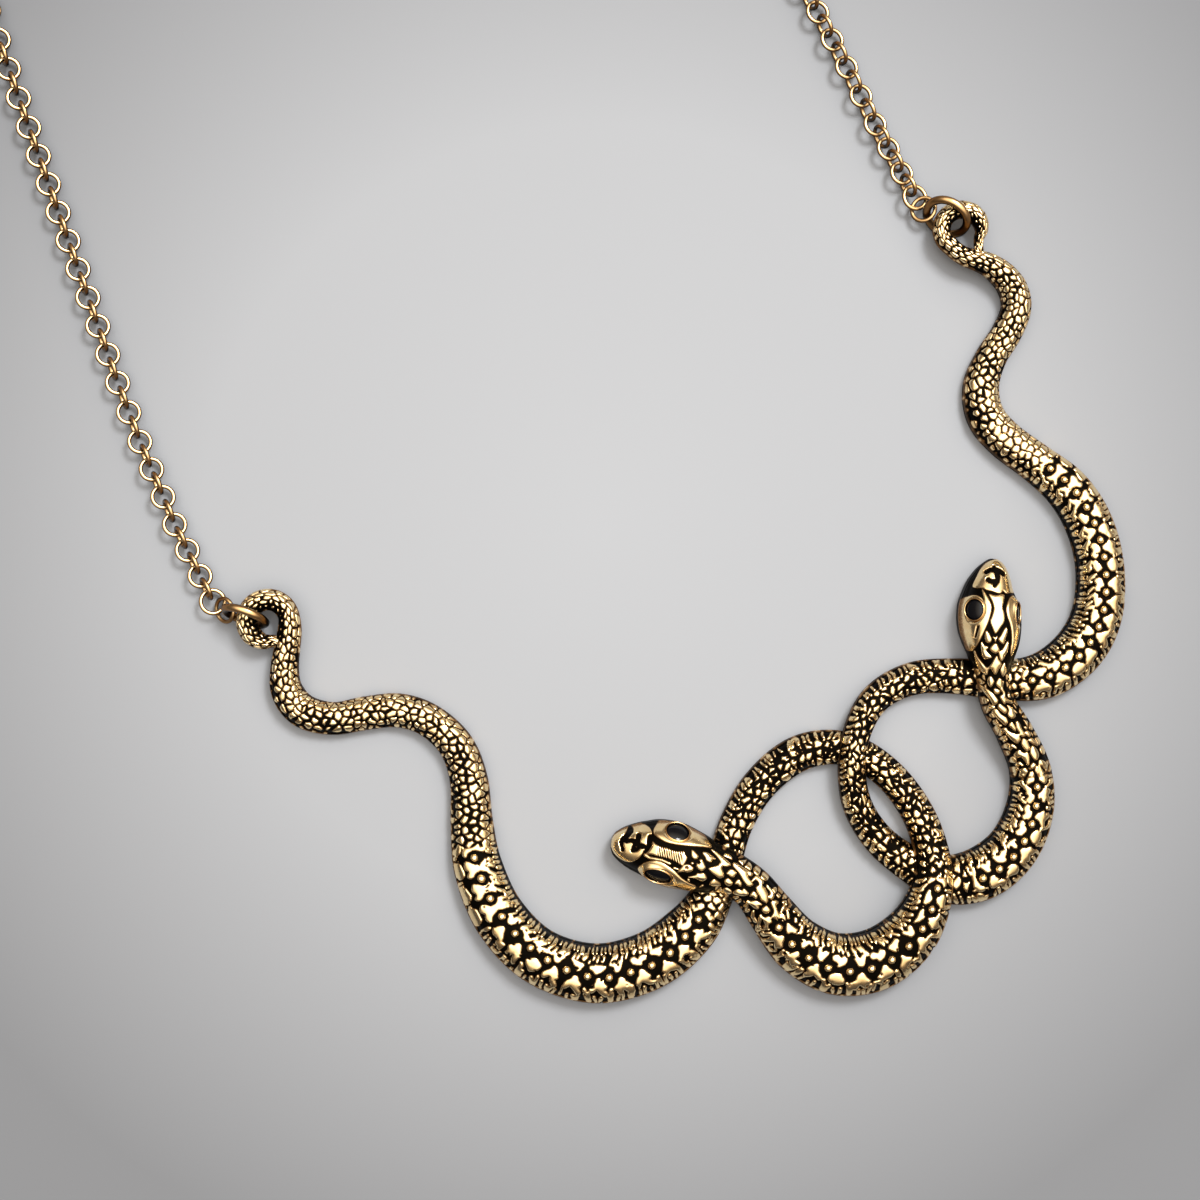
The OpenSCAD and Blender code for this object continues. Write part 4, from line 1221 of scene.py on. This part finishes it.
def carved_gold(settings):
    """Gold worn bright on the tops, blackened in the recesses, and darkened with painted shade
    down the walls: the relief attribute says which is which, through a steep ramp roughened by
    noise."""
    made, nodes, links, shader = material("carved_gold")
    tint = ramped(nodes, links, cloud(nodes, links, 900, 4), (TINT_FROM, settings.gold_shade),
                  (TINT_TO, settings.gold))
    relief = nodes.new("ShaderNodeAttribute")
    relief.attribute_name = "relief"
    rough = nodes.new("ShaderNodeMath")
    rough.operation = "MULTIPLY_ADD"
    rough.inputs[1].default_value = 0.3
    links.new(cloud(nodes, links, 4000, 3), rough.inputs[0])
    links.new(relief.outputs["Fac"], rough.inputs[2])
    bright = smooth_share(nodes, links, rough.outputs[0], 0.7, 0.95)
    brown_patina_and_shade = ramped(nodes, links, rough.outputs[0], (0.4, settings.black_patina_and_shade), (0.9, settings.brown_patina_and_shade))
    links.new(blended(nodes, links, bright, brown_patina_and_shade, tint), shader.inputs["Base Color"])
    shine = nodes.new("ShaderNodeMapRange")
    shine.inputs["To Min"].default_value = 0.6
    shine.inputs["To Max"].default_value = settings.gold_roughness
    links.new(bright, shine.inputs["Value"])
    links.new(shine.outputs["Result"], shader.inputs["Roughness"])
    shader.inputs["Metallic"].default_value = 1
    return made


def plain_gold(settings):
    """Gold of wires and rims, bright where it faces up and brown to black down its sides: painted
    shade and painted reflection of a dark horizon by how each place faces, along with some
    blackened patina.
    """
    made, nodes, links, shader = material("plain_gold")
    tint = ramped(nodes, links, cloud(nodes, links, 900, 4),
                  (TINT_FROM, scaled(settings.wire, 0.75)), (TINT_TO, settings.wire))
    place = nodes.new("ShaderNodeTexCoord")
    split = nodes.new("ShaderNodeSeparateXYZ")
    links.new(place.outputs["Normal"], split.inputs["Vector"])
    # painted shade: the colour darkens as the normal turns away from straight up
    up = smooth_share(nodes, links, split.outputs["Z"], 0.62, 0.97)
    side = ramped(nodes, links, split.outputs["Z"], (0.3, settings.black_patina_and_shade), (0.7, settings.brown_patina_and_shade))
    links.new(blended(nodes, links, up, side, tint), shader.inputs["Base Color"])
    shader.inputs["Metallic"].default_value = 1
    shader.inputs["Roughness"].default_value = settings.wire_roughness
    return made


def black_stone(settings):
    """Polished black stone, with a faint cloud in its colour."""
    made, nodes, links, shader = material("polished_black_stone")
    tint = ramped(nodes, links, cloud(nodes, links, 1500, 2), (0, settings.stone),
                  (1, scaled(settings.stone, 2.2)))
    links.new(tint, shader.inputs["Base Color"])
    shader.inputs["Roughness"].default_value = 0.1
    shader.inputs["Specular IOR Level"].default_value = 0.3
    return made


def finish_piece(piece, made):
    piece.data.materials.clear()
    piece.data.materials.append(made)
    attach(piece, "root")


def dress_node(name, made):
    """Gives a solid of the frame its finish."""
    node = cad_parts[name]
    node.data.materials.clear()
    node.data.materials.append(made)


# Settings
class FinishSettings(bpy.types.PropertyGroup):
    gold: bpy.props.FloatVectorProperty(
        name="Gold", description="Colour of the worn gold", default=(0.98, 0.79, 0.45),
        size=3, min=0, max=1, subtype="COLOR")
    gold_shade: bpy.props.FloatVectorProperty(
        name="Gold in shade", description="Darker tint that clouds the gold",
        default=(0.86, 0.62, 0.31), size=3, min=0, max=1, subtype="COLOR")
    gold_roughness: bpy.props.FloatProperty(
        name="Gold roughness", description="Roughness of the worn gold", default=0.22,
        min=0, max=1, subtype="FACTOR")
    wire: bpy.props.FloatVectorProperty(
        name="Wire", description="Colour of the rings, links and eye rims where they face up",
        default=(0.8, 0.53, 0.25), size=3, min=0, max=1, subtype="COLOR")
    wire_roughness: bpy.props.FloatProperty(
        name="Wire roughness", description="Roughness of the rings, links and eye rims",
        default=0.28, min=0, max=1, subtype="FACTOR")
    # black patina of the recesses, also used as the darkest painted shade down walls and wire sides
    black_patina_and_shade: bpy.props.FloatVectorProperty(
        name="Recess", description="Colour of the blackened recesses",
        default=(0.004, 0.003, 0.002), size=3, min=0, max=1, subtype="COLOR")
    # brown patina between the recesses and the bright gold, also used as painted shade down walls
    # and wire sides
    brown_patina_and_shade: bpy.props.FloatVectorProperty(
        name="Soot", description="Brown of the gold that is not yet worn bright",
        default=(0.38, 0.19, 0.065), size=3, min=0, max=1, subtype="COLOR")
    stone: bpy.props.FloatVectorProperty(
        name="Stone", description="Colour of the black stones", default=(0.002, 0.002, 0.0025),
        size=3, min=0, max=1, subtype="COLOR")


class StageSettings(bpy.types.PropertyGroup):
    # floor colour at the middle of its painted pool of light
    floor: bpy.props.FloatVectorProperty(
        name="Floor", description="Colour of the floor under the pendant",
        default=(0.294, 0.304, 0.321), size=3, min=0, max=1, subtype="COLOR")
    # floor colour far off, darkened with painted shade
    floor_edge_painted_shade: bpy.props.FloatVectorProperty(
        name="Floor's edge", description="Colour of the floor far from the pendant",
        default=(0.145, 0.15, 0.159), size=3, min=0, max=1, subtype="COLOR")
    camera_height: bpy.props.FloatProperty(
        name="Camera height", description="Height of the camera above the floor",
        default=0.275, min=0.1, max=2, subtype="DISTANCE", unit="LENGTH")
    frame_width: bpy.props.FloatProperty(
        name="Frame width", description="Width of the picture where it meets the pendant",
        default=0.15, min=0.05, max=1, subtype="DISTANCE", unit="LENGTH")
    key_power: bpy.props.FloatProperty(
        name="Key light", description="Power of the light at the upper right", default=9,
        min=0, max=50, subtype="POWER", unit="POWER")
    sky: bpy.props.FloatProperty(
        name="Sky", description="Strength of the soft light from straight above", default=2.6,
        min=0, max=5)


# Operators
class NECKLACE_OT_left_snake(bpy.types.Operator):
    """Builds the left snake's carved body"""
    bl_idname = "necklace.left_snake"
    bl_label = "Left snake"

    def execute(self, context):
        made = carved_gold(context.scene.necklace_finish)
        for piece in body_pieces("left_snake_body", LEFT_ROWS,
                                 (15, LEFT_HEAD_PLATES["start"]), **LEFT_CARVING):
            finish_piece(piece, made)
            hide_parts("snake_casting")
        return {"FINISHED"}


class NECKLACE_OT_right_snake(bpy.types.Operator):
    """Builds the right snake's carved body"""
    bl_idname = "necklace.right_snake"
    bl_label = "Right snake"

    def execute(self, context):
        made = carved_gold(context.scene.necklace_finish)
        for piece in body_pieces("right_snake_body", RIGHT_ROWS,
                                 (15, RIGHT_HEAD_PLATES["start"]), **RIGHT_CARVING):
            finish_piece(piece, made)
            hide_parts("snake_casting")
        return {"FINISHED"}


class NECKLACE_OT_heads(bpy.types.Operator):
    """Builds the two heads"""
    bl_idname = "necklace.heads"
    bl_label = "Heads"

    def execute(self, context):
        carved = carved_gold(context.scene.necklace_finish)
        plain = plain_gold(context.scene.necklace_finish)
        for side, rows, plates, eyes, gaze, carving, names in (
                ("left_snake", LEFT_ROWS, LEFT_HEAD_PLATES, LEFT_EYES, LEFT_GAZE, LEFT_CARVING,
                 ("upper", "lower")),
                ("right_snake", RIGHT_ROWS, RIGHT_HEAD_PLATES, RIGHT_EYES, RIGHT_GAZE,
                 RIGHT_CARVING, ("inner", "outer"))):
            head = head_piece(f"{side}_head", rows, plates, eyes, gaze, carving)
            finish_piece(head, carved)
            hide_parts("snake_casting")
            for eye, opening, which in zip(eyes, plates["openings"], names):
                rim = eye_rim(f"{side}_{which}_eye_rim", plates, eye, gaze, opening)
                finish_piece(rim, plain)
        return {"FINISHED"}


class NECKLACE_OT_metal(bpy.types.Operator):
    """Finishes the jump rings, the chains and the clasp"""
    bl_idname = "necklace.metal"
    bl_label = "Rings, chains and clasp"

    def execute(self, context):
        made = plain_gold(context.scene.necklace_finish)
        for name in ("left_jump_ring", "right_jump_ring", "left_chain", "right_chain", "clasp"):
            dress_node(name, made)
        return {"FINISHED"}


class NECKLACE_OT_stones(bpy.types.Operator):
    """Builds the four eye stones"""
    bl_idname = "necklace.stones"
    bl_label = "Eye stones"

    def execute(self, context):
        made = black_stone(context.scene.necklace_finish)
        for side, plates, eyes, gaze, names in (
                ("left_snake", LEFT_HEAD_PLATES, LEFT_EYES, LEFT_GAZE, ("upper", "lower")),
                ("right_snake", RIGHT_HEAD_PLATES, RIGHT_EYES, RIGHT_GAZE, ("inner", "outer"))):
            for eye, opening, which in zip(eyes, plates["openings"], names):
                stone = eye_stone(f"{side}_{which}_stone", plates, eye, gaze, opening)
                finish_piece(stone, made)
                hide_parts(f"{side}_{which}_eye")
        return {"FINISHED"}


def area_light(name, at, target, size, power, colour):
    """A square light at a point, facing a target, both in metres."""
    data = bpy.data.lights.new(name, "AREA")
    data.size, data.energy, data.color = size, power, colour
    light = bpy.data.objects.new(name, data)
    bpy.context.scene.collection.objects.link(light)
    away = np.array(at) - np.array(target)
    light.location = at
    light.rotation_euler = (math.atan2(math.hypot(away[0], away[1]), away[2]), 0,
                            math.atan2(away[1], away[0]) + math.pi / 2)
    return light


# Floor's painted pool of light: how far above the picture's middle it is palest, and how far off
# its painted shade is darkest
FLOOR_PALE_UP, FLOOR_FADE = 10 * MM, 100 * MM
# Sky: how far its middle leans from straight up, and its direction from the picture's right
SKY_LEAN, SKY_TURN = math.radians(13), math.radians(60)


def floor_with_painted_light_pool(settings, middle):
    """Matt paper with a painted pool of light: palest round the picture's middle and darkened
    with painted shade away from it, by a ramp over the distance from a point there, nearly level at
    first."""
    made, nodes, links, shader = material("paper_with_painted_light_pool")
    place = nodes.new("ShaderNodeTexCoord")
    span = nodes.new("ShaderNodeVectorMath")
    span.operation = "DISTANCE"
    c, s = math.cos(LEVEL_TURN), math.sin(LEVEL_TURN)
    span.inputs[1].default_value = (middle[0] - FLOOR_PALE_UP * s,
                                    middle[1] + FLOOR_PALE_UP * c, 0)
    links.new(place.outputs["Object"], span.inputs[0])
    share = nodes.new("ShaderNodeMapRange")
    share.inputs["From Max"].default_value = FLOOR_FADE
    links.new(span.outputs["Value"], share.inputs["Value"])
    # painted light: the floor's colour falls off with distance like a pool of light
    ramp = nodes.new("ShaderNodeValToRGB")
    ramp.color_ramp.elements[0].color = (*settings.floor, 1)
    ramp.color_ramp.elements[1].color = (*settings.floor_edge_painted_shade, 1)
    halfway = ramp.color_ramp.elements.new(0.5)
    halfway.color = (*(0.92 * c for c in settings.floor), 1)
    links.new(share.outputs["Result"], ramp.inputs["Fac"])
    links.new(ramp.outputs["Color"], shader.inputs["Base Color"])
    shader.inputs["Roughness"].default_value = 0.8
    return made


def overhead_sky(settings):
    """Light that is strongest from nearly straight above, leaning toward the picture's upper
    right, and fades through warm tones to a dark horizon: a ramp over the cosine of the angle
    from its middle."""
    world = bpy.data.worlds.new("overhead_sky")
    world.use_nodes = True
    nodes, links = world.node_tree.nodes, world.node_tree.links
    place = nodes.new("ShaderNodeTexCoord")
    toward = nodes.new("ShaderNodeVectorMath")
    toward.operation = "DOT_PRODUCT"
    plan = LEVEL_TURN + SKY_TURN
    toward.inputs[1].default_value = (math.sin(SKY_LEAN) * math.cos(plan),
                                      math.sin(SKY_LEAN) * math.sin(plan), math.cos(SKY_LEAN))
    links.new(place.outputs["Generated"], toward.inputs[0])
    ramp = nodes.new("ShaderNodeValToRGB")
    stops = ramp.color_ramp.elements
    stops[0].position, stops[0].color = 0.0, (0.02, 0.02, 0.025, 1)
    stops[1].position, stops[1].color = 1.0, (1, 1, 1, 1)
    for position, colour in ((0.5, (0.09, 0.07, 0.055)), (0.72, (0.64, 0.55, 0.44)),
                             (0.88, (1, 0.99, 0.97))):
        stops.new(position).color = (*colour, 1)
    links.new(toward.outputs["Value"], ramp.inputs["Fac"])
    background = nodes["Background"]
    links.new(ramp.outputs["Color"], background.inputs["Color"])
    background.inputs["Strength"].default_value = settings.sky
    return world


class NECKLACE_OT_stage(bpy.types.Operator):
    """Makes the pale floor with its painted pool of light, the soft lights and the camera"""
    bl_idname = "necklace.stage"
    bl_label = "Stage"

    def execute(self, context):
        settings = context.scene.necklace_stage
        middle = placed(np.array([0.0, 0.0, 0.0]))
        mesh = bpy.data.meshes.new("floor")
        reach = 3.0
        mesh.from_pydata([(-reach, -reach, 0), (reach, -reach, 0), (reach, reach, 0),
                          (-reach, reach, 0)], [], [(0, 1, 2, 3)])
        floor = bpy.data.objects.new("floor", mesh)
        context.scene.collection.objects.link(floor)
        floor.data.materials.append(floor_with_painted_light_pool(settings, middle))
        context.scene.world = overhead_sky(settings)
        context.scene.view_settings.view_transform = "Standard"

        # the light stands at the picture's upper right, so its direction turns with the plan
        c, s = math.cos(LEVEL_TURN), math.sin(LEVEL_TURN)
        side, up = 0.32, 0.44
        at = (middle[0] + side * c - up * s, middle[1] + side * s + up * c, 0.8)
        area_light("key_light", at, middle, 0.26, settings.key_power, (1, 1, 1))

        camera = bpy.data.objects.new("camera", bpy.data.cameras.new("camera"))
        context.scene.collection.objects.link(camera)
        camera.location = (middle[0], middle[1], settings.camera_height)
        camera.rotation_euler = (0, 0, LEVEL_TURN)
        pendant_height = 2.5 * MM
        camera.data.lens = camera.data.sensor_width \
            * (settings.camera_height - pendant_height) / settings.frame_width
        camera.data.clip_start = 0.01
        context.scene.camera = camera
        return {"FINISHED"}


class NECKLACE_PT_panel(bpy.types.Panel):
    """Lists the necklace's pieces and their settings"""
    bl_label = "Snake Necklace"
    bl_idname = "NECKLACE_PT_panel"
    bl_space_type = "VIEW_3D"
    bl_region_type = "UI"
    bl_category = "Necklace"

    def draw(self, context):
        layout = self.layout
        for operator in OPERATORS:
            layout.operator(operator.bl_idname)
        for settings in (context.scene.necklace_finish, context.scene.necklace_stage):
            for name in settings.bl_rna.properties.keys():
                if name not in ("rna_type", "name"):
                    layout.prop(settings, name)


OPERATORS = (NECKLACE_OT_left_snake, NECKLACE_OT_right_snake, NECKLACE_OT_heads,
             NECKLACE_OT_metal, NECKLACE_OT_stones, NECKLACE_OT_stage)
CLASSES = (FinishSettings, StageSettings, *OPERATORS, NECKLACE_PT_panel)


def register():
    for cls in CLASSES:
        bpy.utils.register_class(cls)
    bpy.types.Scene.necklace_finish = bpy.props.PointerProperty(type=FinishSettings)
    bpy.types.Scene.necklace_stage = bpy.props.PointerProperty(type=StageSettings)


def unregister():
    del bpy.types.Scene.necklace_stage
    del bpy.types.Scene.necklace_finish
    for cls in reversed(CLASSES):
        bpy.utils.unregister_class(cls)


def main():
    register()
    bpy.ops.necklace.left_snake()
    bpy.ops.necklace.right_snake()
    bpy.ops.necklace.heads()
    bpy.ops.necklace.metal()
    bpy.ops.necklace.stones()
    bpy.ops.necklace.stage()


if __name__ == "__main__":
    main()
